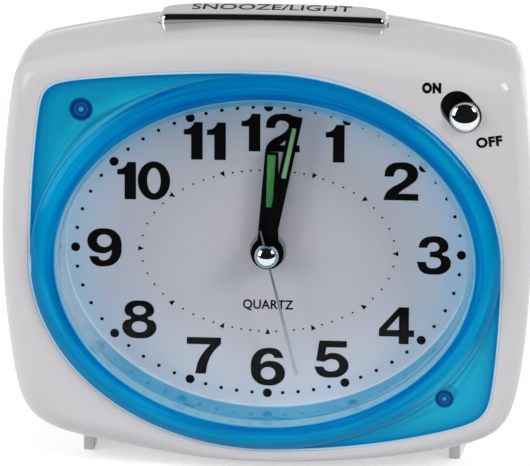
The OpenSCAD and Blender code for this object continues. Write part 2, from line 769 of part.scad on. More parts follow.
module cannon_pinion() {
    end = layer_d(5) - 0.3;
    color("gold") difference() {
        union() {
            disc([0, 0], minute_r, hand_d(3), end);
            gear([0, 0], cannon_teeth, motion_mod, motion_dir, 3);
        }
        disc([0, 0], second_r + run_gap, hand_d(3) - 1, end + 1);
    }
}
module motion_wheel() {
    pinion_phase = mesh_phase(motion_dir, hour_teeth, motion_pinion_teeth, motion_dir);
    color("ivory") difference() {
        union() {
            gear(motion_axis, motion_pinion_teeth, hour_mod, pinion_phase, 2);
            gear(motion_axis, motion_teeth, motion_mod, motion_phase, 3);
            disc(motion_axis, 2 * arbor_r, layer_d(2), layer_d(3) + wheel_t);
        }
        disc(motion_axis, arbor_r + run_gap, layer_d(2) - 1, layer_d(3) + wheel_t + 1);
    }
}
module centre_wheel() {
    color("gold") difference() {
        gear([0, 0], centre_teeth, centre_mod, third_dir, 4);
        disc([0, 0], minute_r + run_gap, layer_d(4) - 1, layer_d(5));
    }
}
module arbor(at) {
    disc(at, arbor_r, movement_d + plate_t / 4, movement_end - plate_t / 4);
}
module third_wheel() {
    color("ivory") {
        gear(third_axis, third_pinion_teeth, centre_mod,
            mesh_phase(third_dir, centre_teeth, third_pinion_teeth, third_dir), 4);
        gear(third_axis, third_teeth, third_mod,
            mesh_phase(third_dir, second_pinion_teeth, third_teeth, third_dir), 5);
        arbor(third_axis);
    }
}
module second_wheel() {
    color("ivory") {
        gear([0, 0], second_pinion_teeth, third_mod, third_dir, 5);
        gear([0, 0], second_teeth, second_mod, inter_dir, 6);
        disc([0, 0], second_r, hand_d(4), movement_end - plate_t / 4);
    }
}
module intermediate_wheel() {
    color("ivory") {
        gear(inter_axis, inter_pinion_teeth, second_mod,
            mesh_phase(inter_dir, second_teeth, inter_pinion_teeth, inter_dir), 6);
        gear(inter_axis, inter_teeth, rotor_mod, rotor_dir, 7);
        arbor(inter_axis);
    }
}
module rotor() {
    color("dimgray") {
        disc(rotor_axis, magnet_r, stator_d, layer_d(7) - 0.3);
        gear(rotor_axis, rotor_teeth, rotor_mod,
            mesh_phase(rotor_dir, inter_teeth, rotor_teeth, rotor_dir), 7);
        arbor(rotor_axis);
    }
}
module stator() {
    color("silver") slab(stator_d, stator_d + stator_t) difference() {
        union() {
            translate([stator_left - leg_w / 2, rotor_axis[1] - magnet_r - leg_w])
                square([stator_right - stator_left + leg_w, 2 * (magnet_r + leg_w) - 1]);
            for (x = [stator_left, stator_right]) translate([x - leg_w / 2, stator_low])
                square([leg_w, rotor_axis[1] - stator_low]);
        }
        translate(rotor_axis) circle(magnet_r + seat_gap);
    }
}
module coil() {
    left = stator_left + leg_w / 2;
    long = stator_right - stator_left - leg_w;
    end_t = 0.6;
    middle = front_y + stator_d + stator_t / 2;
    color("chocolate") translate([left, middle, centre_z + coil_z]) rotate([0, 90, 0]) {
        cylinder(r = coil_r, h = long);
        for (x = [0, long - end_t]) translate([0, 0, x]) cylinder(r = coil_r + 0.4, h = end_t);
    }
}

// Setting knobs
module setting_arbor(at, teeth, phase, layer) {
    color("ivory") {
        gear(at, teeth, motion_mod, phase, layer);
        disc(at, set_r, movement_d + plate_t / 4, overall_back - set_knob_h / 4);
    }
}
module setting_knob(at) {
    ridges = 24;
    color("dimgray") slab(case_depth + seat_gap, overall_back) translate(at) difference() {
        polygon([for (i = [0:2 * ridges - 1]) polar(set_knob_r - 0.4 * (i % 2), 180 * i / ridges)]);
        circle(set_r);
    }
}
module time_arbor() {
    setting_arbor(time_axis, time_set_teeth,
        mesh_phase(motion_phase, motion_teeth, time_set_teeth, time_dir), 3);
}
module time_knob() {
    setting_knob(time_axis);
}
module alarm_arbor() {
    setting_arbor(alarm_axis, alarm_set_teeth,
        mesh_phase(alarm_dir, alarm_teeth, alarm_set_teeth, alarm_dir), 1);
}
module alarm_knob() {
    setting_knob(alarm_axis);
}

// Electrics
module circuit_board() {
    color("green") block(board_left, board_right, movement_end, movement_end + board_t, board_low, board_up);
}
module crystal() {
    can_r = 1;
    color("silver")
        translate([(board_left + board_right) / 2, front_y + movement_end + board_t + can_r, centre_z])
            cylinder(r = can_r, h = 6);
}
module buzzer() {
    color("goldenrod") {
        disc(buzzer_at, buzzer_r, back_inside - buzzer_t, back_inside);
        disc(buzzer_at, buzzer_r / 2, back_inside - buzzer_t - 0.6, back_inside - buzzer_t + eps);
    }
}
module battery_tray() {
    color("whitesmoke") difference() {
        block(bay_left - tray_t, bay_right + tray_t, tray_front, back_inside,
            bay_low - tray_t, bay_up + tray_t);
        block(bay_left, bay_right, tray_front + tray_t, back_inside + 1, bay_low, bay_up);
        for (x = [bay_left, bay_right - contact_t]) tab(x, fit_gap / 2);
    }
}
module tab(x, gap) {
    block(x - gap, x + contact_t + gap, tray_front - 0.15, cell_d, -cell_down - tab_half - gap,
        -cell_down + tab_half + gap);
}
module battery_cell() {
    color("orange") translate([-cell_len / 2, front_y + cell_d, centre_z - cell_down]) rotate([0, 90, 0]) {
        cylinder(r = cell_r, h = cell_len - 1);
        cylinder(r = 2.7, h = cell_len);
    }
}
module contact_plate(x) {
    block(x, x + contact_t, cell_d - 5, cell_d + 5, -cell_down - 5, -cell_down + 5);
    tab(x, 0);
}
module positive_contact() {
    color("silver") contact_plate(bay_right - contact_t);
}
module negative_contact() {
    color("silver") {
        contact_plate(bay_left);
        translate([bay_left + contact_t - 0.1, front_y + cell_d, centre_z - cell_down]) rotate([0, 90, 0])
            coil_spring(3.4, contact_room - contact_t, 4, 0.35);
    }
}
module wires() {
    y = front_y + lead_d + lead_r;
    under = -plate_z - 2;
    right_x = bay_right - contact_t / 2;
    left_x = bay_left + contact_t / 2;
    tab_low = -cell_down - tab_half;
    routes = [
        [[right_x, board_low - eps], [right_x, tab_low]],
        [[board_left + 2, board_low - eps], [board_left + 2, under + 1], [board_left + 1, under],
            [left_x + 1, under], [left_x, under + 0.6]]];
    color("red") for (route = routes)
        tube([for (p = route) [p[0], y, centre_z + p[1]]], [for (p = route) [0, 1, 0]], lead_r);
}
module battery_door() {
    color("whitesmoke") {
        block(bay_left + fit_gap, bay_right - fit_gap, case_depth - door_t, case_depth,
            bay_low + fit_gap, bay_up - fit_gap);
        block(bay_left + door_rim + fit_gap, bay_right - door_rim - fit_gap, case_depth - door_t - plug_t,
            case_depth - door_t + eps, bay_low + door_rim + fit_gap, bay_up - door_rim - fit_gap);
    }
}

front_case();
rear_cover();
case_screws();
bezel();
bezel_screws();
lens();
dial_ring();
dial();
dial_plate();
dial_screws();
snooze_bar();
snooze_springs();
snooze_switch();
dial_lamp();
switch_knob();
switch_slider();
switch_body();
alarm_hand();
hour_hand();
minute_hand();
second_hand();
second_cap();
movement_front();
movement_back();
movement_screws();
alarm_wheel();
hour_wheel();
cannon_pinion();
motion_wheel();
centre_wheel();
third_wheel();
second_wheel();
intermediate_wheel();
rotor();
stator();
coil();
time_arbor();
time_knob();
alarm_arbor();
alarm_knob();
circuit_board();
crystal();
buzzer();
battery_tray();
battery_cell();
positive_contact();
negative_contact();
wires();
battery_door();
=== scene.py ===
import json
import math

import bpy
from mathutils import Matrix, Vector

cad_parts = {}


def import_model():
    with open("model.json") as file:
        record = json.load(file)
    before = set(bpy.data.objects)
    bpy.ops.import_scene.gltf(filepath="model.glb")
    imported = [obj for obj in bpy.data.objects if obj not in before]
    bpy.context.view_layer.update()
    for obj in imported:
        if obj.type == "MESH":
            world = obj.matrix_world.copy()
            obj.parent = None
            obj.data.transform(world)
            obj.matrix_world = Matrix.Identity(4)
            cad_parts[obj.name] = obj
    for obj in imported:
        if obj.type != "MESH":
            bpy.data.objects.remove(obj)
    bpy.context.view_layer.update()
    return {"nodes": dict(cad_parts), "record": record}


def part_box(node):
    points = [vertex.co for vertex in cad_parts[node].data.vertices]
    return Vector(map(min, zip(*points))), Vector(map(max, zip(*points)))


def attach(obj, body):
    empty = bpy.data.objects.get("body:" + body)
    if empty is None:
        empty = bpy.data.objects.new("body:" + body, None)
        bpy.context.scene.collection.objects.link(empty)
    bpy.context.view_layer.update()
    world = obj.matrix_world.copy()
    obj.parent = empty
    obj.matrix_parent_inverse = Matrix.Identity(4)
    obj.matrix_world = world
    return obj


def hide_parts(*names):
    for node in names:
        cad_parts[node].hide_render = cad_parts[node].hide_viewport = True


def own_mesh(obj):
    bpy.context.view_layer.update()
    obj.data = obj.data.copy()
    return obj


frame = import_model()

# Sizes of the clock in millimetres, depth counted back from the case front
MM = 0.001
FRONT_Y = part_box("front_case")[0][1] / MM
CENTRE_Z = 47.0
CASE_W = 115.0
CASE_DEPTH = 48.0
FRONT_DEPTH = 36.0
CASE_UP = 49.2
CASE_DOWN = 45.3
SIDE_BULGE_R = 235.0
SIDE_MID = 4.5
TOP_BULGE_R = 220.0
BOTTOM_BULGE_R = 230.0
UPPER_CORNER_R = 3.0
LOWER_CORNER_R = 8.5
FRONT_ROUND = 7.0
FRONT_FLAT = 1.0
SIDE_DRAFT = 0.6
REAR_DRAW = 7.0
WALL = 2.0
INNER_FACE = 3.6
BEZEL_X = 51.5
BEZEL_Z = 42.5
BEZEL_BORDER = 0.4
RING_W = 5.9
RING_RISE = 1.4
RING_LIFT = 1.2
RECESS_D = 2.0
PLATE_SINK = 0.06
BEZEL_CORNER_R = 4.2
BEZEL_SIDE_R = 250.0
BEZEL_TOP_R = 375.0
BEZEL_BOTTOM_R = 155.0
SKIRT_D = 6.0
SKIRT_T = 1.2
OPEN_X = BEZEL_X - BEZEL_BORDER - RING_W
OPEN_Z = BEZEL_Z - BEZEL_BORDER - RING_W
LENS_LIP = 1.0
LENS_FRONT = 0.8
LENS_BACK = 3.2
LENS_BEVEL = 0.75
DIAL_D = 11.0
DIAL_T = 0.4
RING_DRAFT = 1.0
FIT_GAP = 0.2
BEZEL_GAP = 0.02
SEAT_GAP = 0.3
# Posts seen through the bezel, painted into its blue as dark rings of shade round lighter centres: x, z, reach and
# strength; the faint second one is a painted ghost image beside the third
POSTS = [(-39.7, 33.4, 4.0, 1.0), (40.1, -28.2, 3.0, 0.32), (39.25, -29.6, 3.2, 1.0)]
HOUR_TURN = 2.2
MINUTE_TURN = 11.6
SECOND_TURN = 166.0
ALARM_TURN = 2.2
BAR_W = 50.0
BAR_D = 11.2
BAR_START = 21.3
BAR_RISE = 1.5
BAR_CROWN_R = 1000.0
BAR_CORNER_W = 12.0
BAR_CORNER_D = 5.0
BAR_FRONT_R = 2.0
BAR_ROUND = 1.8
WORD_ROOM = 0.05
KNOB_R = 3.3
KNOB_RISE = 2.2
SWITCH_OFF = (42.7, 33.5)
SWITCH_TRAVEL = 2.6
SWITCH_SLOPE = math.radians(50)
SLOT_R = KNOB_R + SEAT_GAP
TIME_AXIS = (11.447, 6.0)
ALARM_AXIS = (-10.392, 6.0)
SET_KNOB_R = 6.5
SET_KNOB_H = 4.0
BAY = (-31.25, 25.75, -31.5, -16.5)
DOOR_T = 1.2
DOOR_RIM = 1.5
SCREW_WELLS = [(-29.0, 36.0), (29.0, 36.0), (-45.0, -23.5), (45.0, -23.5)]
SCREW_HEAD_R = 2.4
SCREW_HEAD_D = 43.0
SOUND_AT = (-30.0, 18.0)
SOUND_STEP = 4.5
FOOT_INNER = {-1: 38.4, 1: 40.2}
FOOT_W = 2.4
FOOT_FLARE = 1.2
FOOT_START = 12.0
FLARE_END = 24.0
FOOT_END = 42.0
CORNER_AT = (math.radians(46), math.radians(134))
CORNER_SPREAD = math.radians(13)
CORNER_RISE = 4.9
CORNER_DRAW = 5.5
SEAM_BEVEL_W = 0.25
SEAM_BEVEL_D = 0.3
CUT_OVER = 5
NEAR = 0.01


# Outlines of the case and the bezel, as a reach from the dial centre at an angle
def soft_min(values, power):
    return sum(v ** -power for v in values) ** (-1 / power)


def corner_power(radius, half):
    return -math.log(2) / math.log(1 - (math.sqrt(2) - 1) * radius / (math.sqrt(2) * half))


def arc_reach(angle, centre, radius):
    along = centre[0] * math.cos(angle) + centre[1] * math.sin(angle)
    return along + math.sqrt(along ** 2 - centre[0] ** 2 - centre[1] ** 2 + radius ** 2)


def case_reach(angle):
    half = (CASE_W + CASE_UP + CASE_DOWN) / 4
    corner = UPPER_CORNER_R if math.sin(angle) > 0 else LOWER_CORNER_R
    sides = [
        arc_reach(angle, (CASE_W / 2 - SIDE_BULGE_R, SIDE_MID), SIDE_BULGE_R),
        arc_reach(angle, (SIDE_BULGE_R - CASE_W / 2, SIDE_MID), SIDE_BULGE_R),
        arc_reach(angle, (0, CASE_UP - TOP_BULGE_R), TOP_BULGE_R),
        arc_reach(angle, (0, BOTTOM_BULGE_R - CASE_DOWN), BOTTOM_BULGE_R),
    ]
    return soft_min(sides, corner_power(corner, half))


def oval_reach(angle, x, z):
    return 1 / math.hypot(math.cos(angle) / x, math.sin(angle) / z)


def squared_reach(angle, x, z):
    sides = [
        arc_reach(angle, (x - BEZEL_SIDE_R, 0), BEZEL_SIDE_R),
        arc_reach(angle, (BEZEL_SIDE_R - x, 0), BEZEL_SIDE_R),
        arc_reach(angle, (0, z - BEZEL_TOP_R), BEZEL_TOP_R),
        arc_reach(angle, (0, BEZEL_BOTTOM_R - z), BEZEL_BOTTOM_R),
    ]
    return soft_min(sides, corner_power(BEZEL_CORNER_R, (BEZEL_X + BEZEL_Z) / 2))


def leaf_reach(angle):
    x, z = BEZEL_X - BEZEL_BORDER, BEZEL_Z - BEZEL_BORDER
    rounded = math.sin(angle) * math.cos(angle) > 0
    reach = oval_reach(angle, x, z) if rounded else squared_reach(angle, x, z)
    return BEZEL_BORDER + reach


# Angles round the face, closer together where the corners turn
CORNER_FROM, CORNER_TO = 30, 56
QUARTER = [2 * i for i in range(CORNER_FROM // 2)]
QUARTER += [CORNER_FROM + 0.5 * i for i in range(2 * (CORNER_TO - CORNER_FROM))]
QUARTER += [CORNER_TO + 2 * i for i in range((90 - CORNER_TO) // 2)]
ANGLES = set()
for side in range(4):
    for step in QUARTER:
        angle = math.radians(90 * side + (step if side % 2 == 0 else 90 - step))
        ANGLES.add(round(angle % (2 * math.pi), 6))
ANGLES = sorted(ANGLES)
CASE_LINE = [case_reach(a) for a in ANGLES]
LEAF_LINE = [leaf_reach(a) for a in ANGLES]
CORNER_SHARE = [sum(math.exp(-((a - c) / CORNER_SPREAD) ** 2) for c in CORNER_AT) for a in ANGLES]


def side_line(depth):
    """Case outline behind the rounded face: the upper corners swell and then draw in towards the seam."""
    s = (depth - FRONT_ROUND) / (FRONT_DEPTH - FRONT_ROUND)
    swell = CORNER_RISE * s - CORNER_DRAW * s * s
    return [r - SIDE_DRAFT * max(0, s) + swell * share for r, share in zip(CASE_LINE, CORNER_SHARE)]


SEAM_LINE = side_line(FRONT_DEPTH)


def oval_line(x, z):
    return [oval_reach(a, x, z) for a in ANGLES]


def grow(line, amount):
    return [r + amount for r in line]


def between(first, second, share):
    """A line part of the way from one line to another."""
    return [a + (b - a) * share for a, b in zip(first, second)]


def ring(line, depth):
    depths = depth if isinstance(depth, list) else [depth] * len(line)
    return [(r * math.cos(a), d, r * math.sin(a)) for r, d, a in zip(line, depths, ANGLES)]


def arc(steps, start=0, end=90):
    """Angles in radians from start to end, which are in degrees."""
    return [math.radians(start + (end - start) * i / steps) for i in range(steps + 1)]


def turns(count):
    """Angles once round a circle."""
    return [2 * math.pi * i / count for i in range(count)]


def spoke(centre, radius, angle):
    """The point at a radius and an angle from a centre."""
    return centre[0] + radius * math.cos(angle), centre[1] + radius * math.sin(angle)


def dome(radius, height, top):
    """Profile of a round cap from its top to its rim."""
    return [(radius * math.sin(t), top + height * (1 - math.cos(t))) for t in arc(12)]


# Modelling steps
def place(x, depth, z):
    return Vector((x, FRONT_Y + depth, CENTRE_Z + z)) * MM


def clear_selection():
    if bpy.context.object and bpy.context.object.mode != "OBJECT":
        bpy.ops.object.mode_set(mode="OBJECT")
    bpy.ops.object.select_all(action="DESELECT")


def pick(piece):
    clear_selection()
    piece.select_set(True)
    bpy.context.view_layer.objects.active = piece


def edit(piece):
    """Edit mode with the whole mesh selected."""
    pick(piece)
    bpy.ops.object.mode_set(mode="EDIT")
    bpy.ops.mesh.select_all(action="SELECT")


def leave_edit():
    bpy.ops.object.mode_set(mode="OBJECT")


def tidy_mesh(piece):
    edit(piece)
    bpy.ops.mesh.remove_doubles(threshold=1e-6)
    bpy.ops.mesh.normals_make_consistent(inside=False)
    leave_edit()


def skin(name, rings, closed):
    """A circle drawn out ring by ring; closed is loop, caps or poles."""
    if closed == "loop":
        rings = rings + [rings[0]]
    count = len(rings[0])
    clear_selection()
    bpy.ops.mesh.primitive_circle_add(vertices=count, radius=1)
    piece = bpy.context.object
    piece.name = name
    bpy.ops.object.mode_set(mode="EDIT")
    for _ in rings[1:]:
        bpy.ops.mesh.extrude_region_move(TRANSFORM_OT_translate={"value": (0, 0, 1)})
    leave_edit()
    for vertex in piece.data.vertices:
        turn = math.atan2(vertex.co.y, vertex.co.x) / (2 * math.pi)
        vertex.co = place(*rings[round(vertex.co.z)][round(turn * count) % count])
    tidy_mesh(piece)
    if closed == "caps":
        edit(piece)
        bpy.ops.mesh.fill_holes(sides=0)
        bpy.ops.mesh.select_all(action="SELECT")
        bpy.ops.mesh.normals_make_consistent(inside=False)
        leave_edit()
    return piece


def prism(name, outline, depths):
    """A solid with one outline, seen from the front, at each depth."""
    return skin(name, [[(x, d, z) for x, z in outline] for d in depths], "caps")


def upright(name, plan, heights):
    """A solid with one outline, seen from above, at each height."""
    return skin(name, [[(x, d, z) for x, d in plan] for z in heights], "caps")


def turned(name, centre, profile, count=48):
    """A piece of round section: profile holds (radius, depth) from front to back."""
    rings = []
    for radius, depth in profile:
        points = [spoke(centre, radius, a) for a in turns(count)]
        rings.append([(x, depth, z) for x, z in points])
    return skin(name, rings, "poles")


def rod(name, centre, radius, start, end, count):
    """A plain round pin between two depths."""
    return turned(name, centre, [(0, start), (radius, start), (radius, end), (0, end)], count)


def obround(name, start, end, radius, depths, count=24):
    along = math.atan2(end[1] - start[1], end[0] - start[0])
    points = []
    for centre, first in ((start, along + math.pi / 2), (end, along - math.pi / 2)):
        points += [spoke(centre, radius, first + math.pi * i / (count - 1)) for i in range(count)]
    return prism(name, points, depths)


def brick(name, x0, x1, d0, d1, z0, z1):
    low, high = place(x0, d0, z0), place(x1, d1, z1)
    clear_selection()
    bpy.ops.mesh.primitive_cube_add(size=1, location=(low + high) / 2, scale=high - low)
    piece = bpy.context.object
    piece.name = name
    bpy.ops.object.transform_apply(location=True, rotation=True, scale=True)
    return piece


def local(co):
    """A point back in millimetres: right of centre, depth, above centre."""
    return (co.x / MM, co.y / MM - FRONT_Y, co.z / MM - CENTRE_Z)


def select_edges(piece, chosen):
    pick(piece)
    bpy.ops.object.mode_set(mode="EDIT")
    bpy.ops.mesh.select_mode(type="EDGE")
    bpy.ops.mesh.select_all(action="DESELECT")
    bpy.ops.object.mode_set(mode="OBJECT")
    for edge in piece.data.edges:
        ends = [local(piece.data.vertices[v].co) for v in edge.vertices]
        edge.select = chosen(*ends)
    bpy.ops.object.mode_set(mode="EDIT")


def soften(piece, width, segments, chosen):
    select_edges(piece, chosen)
    bpy.ops.mesh.bevel(offset=width * MM, segments=segments, affect="EDGES", clamp_overlap=True)
    leave_edit()


def carve(piece, cutter, operation="DIFFERENCE"):
    pick(piece)
    step = piece.modifiers.new("Carve", "BOOLEAN")
    step.operation = operation
    step.solver = "EXACT"
    step.object = cutter
    bpy.ops.object.modifier_apply(modifier=step.name)
    bpy.data.objects.remove(cutter)


def join(name, pieces):
    clear_selection()
    for piece in pieces:
        piece.select_set(True)
    bpy.context.view_layer.objects.active = pieces[0]
    if len(pieces) > 1:
        bpy.ops.object.join()
    joined = bpy.context.object
    joined.name = name
    return joined


def smooth(piece, angle=35):
    pick(piece)
    bpy.ops.object.shade_smooth_by_angle(angle=math.radians(angle))
    step = piece.modifiers.new("Even shading", "WEIGHTED_NORMAL")
    step.keep_sharp = True
    bpy.ops.object.modifier_apply(modifier=step.name)


def finish_piece(piece, body, material, slot, *nodes):
    piece.data.materials.clear()
    piece.data.materials.append(material)
    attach(piece, body)
    if nodes:
        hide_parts(*nodes)


def paint(piece, label, rings, values):
    """Writes a value for each point of the rings to the mesh points that lie there."""
    known = {}
    for line, shares in zip(rings, values):
        for point, share in zip(line, shares):
            known.setdefault(tuple(round(c, 2) for c in point), share)
    layer = piece.data.attributes.new(label, "FLOAT", "POINT")
    for vertex, value in zip(piece.data.vertices, layer.data):
        value.value = known.get(tuple(round(c, 2) for c in local(vertex.co)), 0.0)


# Colours as seen on a screen, 0 to 255
def tint(red, green, blue):
    linear = []
    for value in (red, green, blue):
        v = value / 255
        linear.append(v / 12.92 if v <= 0.04045 else ((v + 0.055) / 1.055) ** 2.4)
    return (*linear, 1.0)


def tones(*stops):
    """Ramp stops from rows of place, red, green and blue."""
    return [(at, tint(*colour)) for at, *colour in stops]


def grey(level):
    return (level, level, level, 1)


def mask(*stops):
    """Ramp stops in grey from rows of place and level."""
    return [(at, grey(level)) for at, level in stops]


# Single shader nodes, each given back by its output
def feed(tree, socket, value):
    """Sets a socket to a plain value, or links it to another socket."""
    if isinstance(value, (int, float, tuple)):
        socket.default_value = value
    else:
        tree.links.new(value, socket)


def math_node(tree, operation, first, second):
    node = tree.nodes.new("ShaderNodeMath")
    node.operation = operation
    feed(tree, node.inputs[0], first)
    feed(tree, node.inputs[1], second)
    return node.outputs[0]


def vector_node(tree, operation, *vectors):
    node = tree.nodes.new("ShaderNodeVectorMath")
    node.operation = operation
    for socket, vector in zip(node.inputs, vectors):
        tree.links.new(vector, socket)
    return node


def noise_node(tree, vector, scale, detail=4.0):
    node = tree.nodes.new("ShaderNodeTexNoise")
    node.inputs["Detail"].default_value = detail
    tree.links.new(vector, node.inputs["Vector"])
    feed(tree, node.inputs["Scale"], scale)
    return node.outputs["Fac"]


def shade_colour(tree, colour, amount):
    node = tree.nodes.new("ShaderNodeHueSaturation")
    tree.links.new(colour, node.inputs["Color"])
    tree.links.new(amount, node.inputs["Value"])
    return node.outputs["Color"]


def object_place(tree):
    return tree.nodes.new("ShaderNodeTexCoord").outputs["Object"]


def mapped(tree, vector, scale, location=(0, 0, 0)):
    node = tree.nodes.new("ShaderNodeMapping")
    node.inputs["Scale"].default_value = scale
    node.inputs["Location"].default_value = location
    tree.links.new(vector, node.inputs["Vector"])
    return node.outputs["Vector"]


def attribute(tree, label):
    node = tree.nodes.new("ShaderNodeAttribute")
    node.attribute_name = label
    return node.outputs["Fac"]


def axis_part(tree, vector, axis):
    node = tree.nodes.new("ShaderNodeSeparateXYZ")
    tree.links.new(vector, node.inputs[0])
    return node.outputs[axis]


def smooth_range(tree, value, start, end, low=0.0, high=1.0):
    node = tree.nodes.new("ShaderNodeMapRange")
    node.interpolation_type = "SMOOTHSTEP"
    for label, level in (("From Min", start), ("From Max", end), ("To Min", low), ("To Max", high)):
        node.inputs[label].default_value = level
    tree.links.new(value, node.inputs["Value"])
    return node.outputs["Result"]


def ramp(tree, factor, stops):
    node = tree.nodes.new("ShaderNodeValToRGB")
    band = node.color_ramp
    while len(band.elements) < len(stops):
        band.elements.new(0.5)
    for element, (position, colour) in zip(band.elements, stops):
        element.position = position
        element.color = colour
    tree.links.new(factor, node.inputs["Fac"])
    return node.outputs["Color"]


def mix_colour(tree, factor, first, second, blend="MIX"):
    node = tree.nodes.new("ShaderNodeMix")
    node.data_type = "RGBA"
    node.blend_type = blend
    tree.links.new(factor, node.inputs["Factor"])
    feed(tree, node.inputs["A"], first)
    feed(tree, node.inputs["B"], second)
    return node.outputs["Result"]


def distance_from(tree, where, centre, stretch=(1.0, 1.0)):
    """Distance in millimetres from an axis through the dial side, squeezed to fit an oval."""
    scale = (1 / (MM * stretch[0]), 0, 1 / (MM * stretch[1]))
    location = (-centre[0] / stretch[0], 0, -(CENTRE_Z + centre[1]) / stretch[1])
    return vector_node(tree, "LENGTH", mapped(tree, where, scale, location)).outputs["Value"]


def fade(tree, where, axis, start, end):
    """Goes from 0 to 1 between two places along an axis, in millimetres from the dial centre and the case front."""
    middle = {"X": 0, "Y": FRONT_Y, "Z": CENTRE_Z}[axis]
    return smooth_range(tree, axis_part(tree, where, axis), (middle + start) * MM, (middle + end) * MM)


# Finish effects shared by several materials
def new_group(name, inputs, outputs):
    group = bpy.data.node_groups.new(name, "ShaderNodeTree")
    for label, kind, value in inputs:
        socket = group.interface.new_socket(name=label, in_out="INPUT", socket_type=kind)
        socket.default_value = value
    for label, kind in outputs:
        group.interface.new_socket(name=label, in_out="OUTPUT", socket_type=kind)
    return group, group.nodes.new("NodeGroupInput"), group.nodes.new("NodeGroupOutput")


def spread_round(tree, middle, noise, spread):
    """A value that noise moves either way by part of the spread."""
    centred = math_node(tree, "SUBTRACT", noise, 0.5)
    return math_node(tree, "ADD", middle, math_node(tree, "MULTIPLY", centred, spread))


FLOAT, COLOUR = "NodeSocketFloat", "NodeSocketColor"
CLOUD_SCALE = 60.0
PATCH_SCALE = 120.0
LINE_STRETCH = (0.06, 1, 1)


def moulded_surface_group():
    """Moulded plastic: faint cloudy shade, uneven gloss and a fine mould grain."""
    group, given, out = new_group(
        "Moulded surface",
        [("Colour", COLOUR, grey(0.8)), ("Cloudiness", FLOAT, 0.04), ("Cloud scale", FLOAT, CLOUD_SCALE),
         ("Roughness", FLOAT, 0.3), ("Gloss spread", FLOAT, 0.1), ("Grain scale", FLOAT, 2500)],
        [("Colour", COLOUR), ("Roughness", FLOAT), ("Grain", FLOAT)])
    where = object_place(group)
    cloud = noise_node(group, where, given.outputs["Cloud scale"])
    shade = spread_round(group, 1.0, cloud, given.outputs["Cloudiness"])
    gloss = spread_round(group, given.outputs["Roughness"], cloud, given.outputs["Gloss spread"])
    group.links.new(shade_colour(group, given.outputs["Colour"], shade), out.inputs["Colour"])
    group.links.new(gloss, out.inputs["Roughness"])
    group.links.new(noise_node(group, where, given.outputs["Grain scale"], 2.0), out.inputs["Grain"])
    return group


def drawn_metal_group():
    """Metal with fine lines along one way and patches of duller gloss."""
    group, given, out = new_group(
        "Drawn metal",
        [("Colour", COLOUR, grey(0.7)), ("Line shade", FLOAT, 0.1), ("Line scale", FLOAT, 900),
         ("Roughness", FLOAT, 0.25), ("Gloss spread", FLOAT, 0.15)],
        [("Colour", COLOUR), ("Roughness", FLOAT), ("Lines", FLOAT)])
    where = object_place(group)
    lines = noise_node(group, mapped(group, where, LINE_STRETCH), given.outputs["Line scale"], 3.0)
    patches = noise_node(group, where, PATCH_SCALE)
    shade = spread_round(group, 1.0, lines, given.outputs["Line shade"])
    gloss = spread_round(group, given.outputs["Roughness"], patches, given.outputs["Gloss spread"])
    group.links.new(shade_colour(group, given.outputs["Colour"], shade), out.inputs["Colour"])
    group.links.new(gloss, out.inputs["Roughness"])
    group.links.new(lines, out.inputs["Lines"])
    return group


MOULDED = moulded_surface_group()
DRAWN = drawn_metal_group()


def new_material(name):
    material = bpy.data.materials.new(name)
    material.use_nodes = True
    return material, material.node_tree, material.node_tree.nodes["Principled BSDF"]


def add_bump(tree, shader, height, strength, distance):
    bump = tree.nodes.new("ShaderNodeBump")
    bump.inputs["Strength"].default_value = strength
    bump.inputs["Distance"].default_value = distance * MM
    tree.links.new(height, bump.inputs["Height"])
    tree.links.new(bump.outputs["Normal"], shader.inputs["Normal"])


def use_group(tree, group, values):
    node = tree.nodes.new("ShaderNodeGroup")
    node.node_tree = group
    for label, value in values.items():
        node.inputs[label].default_value = value
    return node


MOULDED_INPUTS = ("Cloudiness", "Cloud scale", "Roughness", "Gloss spread", "Grain scale")
PLASTIC_SPREAD = 0.1


def mould(tree, shader, colour, values, bump, depth=0.02):
    """Gives the shader a moulded surface: values are for MOULDED_INPUTS, bump and depth for its grain."""
    surface = use_group(tree, MOULDED, dict(zip(MOULDED_INPUTS, values)))
    feed(tree, surface.inputs["Colour"], colour)
    tree.links.new(surface.outputs["Colour"], shader.inputs["Base Color"])
    tree.links.new(surface.outputs["Roughness"], shader.inputs["Roughness"])
    add_bump(tree, shader, surface.outputs["Grain"], bump, depth)


def plastic(name, colour, roughness=0.3, cloudiness=0.04, bump=0.05, grain=2500, alpha=1.0, shine=0.5):
    material, tree, shader = new_material(name)
    mould(tree, shader, colour, (cloudiness, CLOUD_SCALE, roughness, PLASTIC_SPREAD, grain), bump)
    shader.inputs["Specular IOR Level"].default_value = shine
    shader.inputs["Alpha"].default_value = alpha
    return material


def metal(name, colour, roughness=0.2, line_shade=0.1, bump=0.05, spread=0.1, line_scale=900):
    material, tree, shader = new_material(name)
    surface = use_group(tree, DRAWN, {"Colour": colour, "Line shade": line_shade, "Roughness": roughness,
                                      "Gloss spread": spread, "Line scale": line_scale})
    tree.links.new(surface.outputs["Colour"], shader.inputs["Base Color"])
    tree.links.new(surface.outputs["Roughness"], shader.inputs["Roughness"])
    shader.inputs["Metallic"].default_value = 1.0
    add_bump(tree, shader, surface.outputs["Lines"], bump, 0.01)
    return material


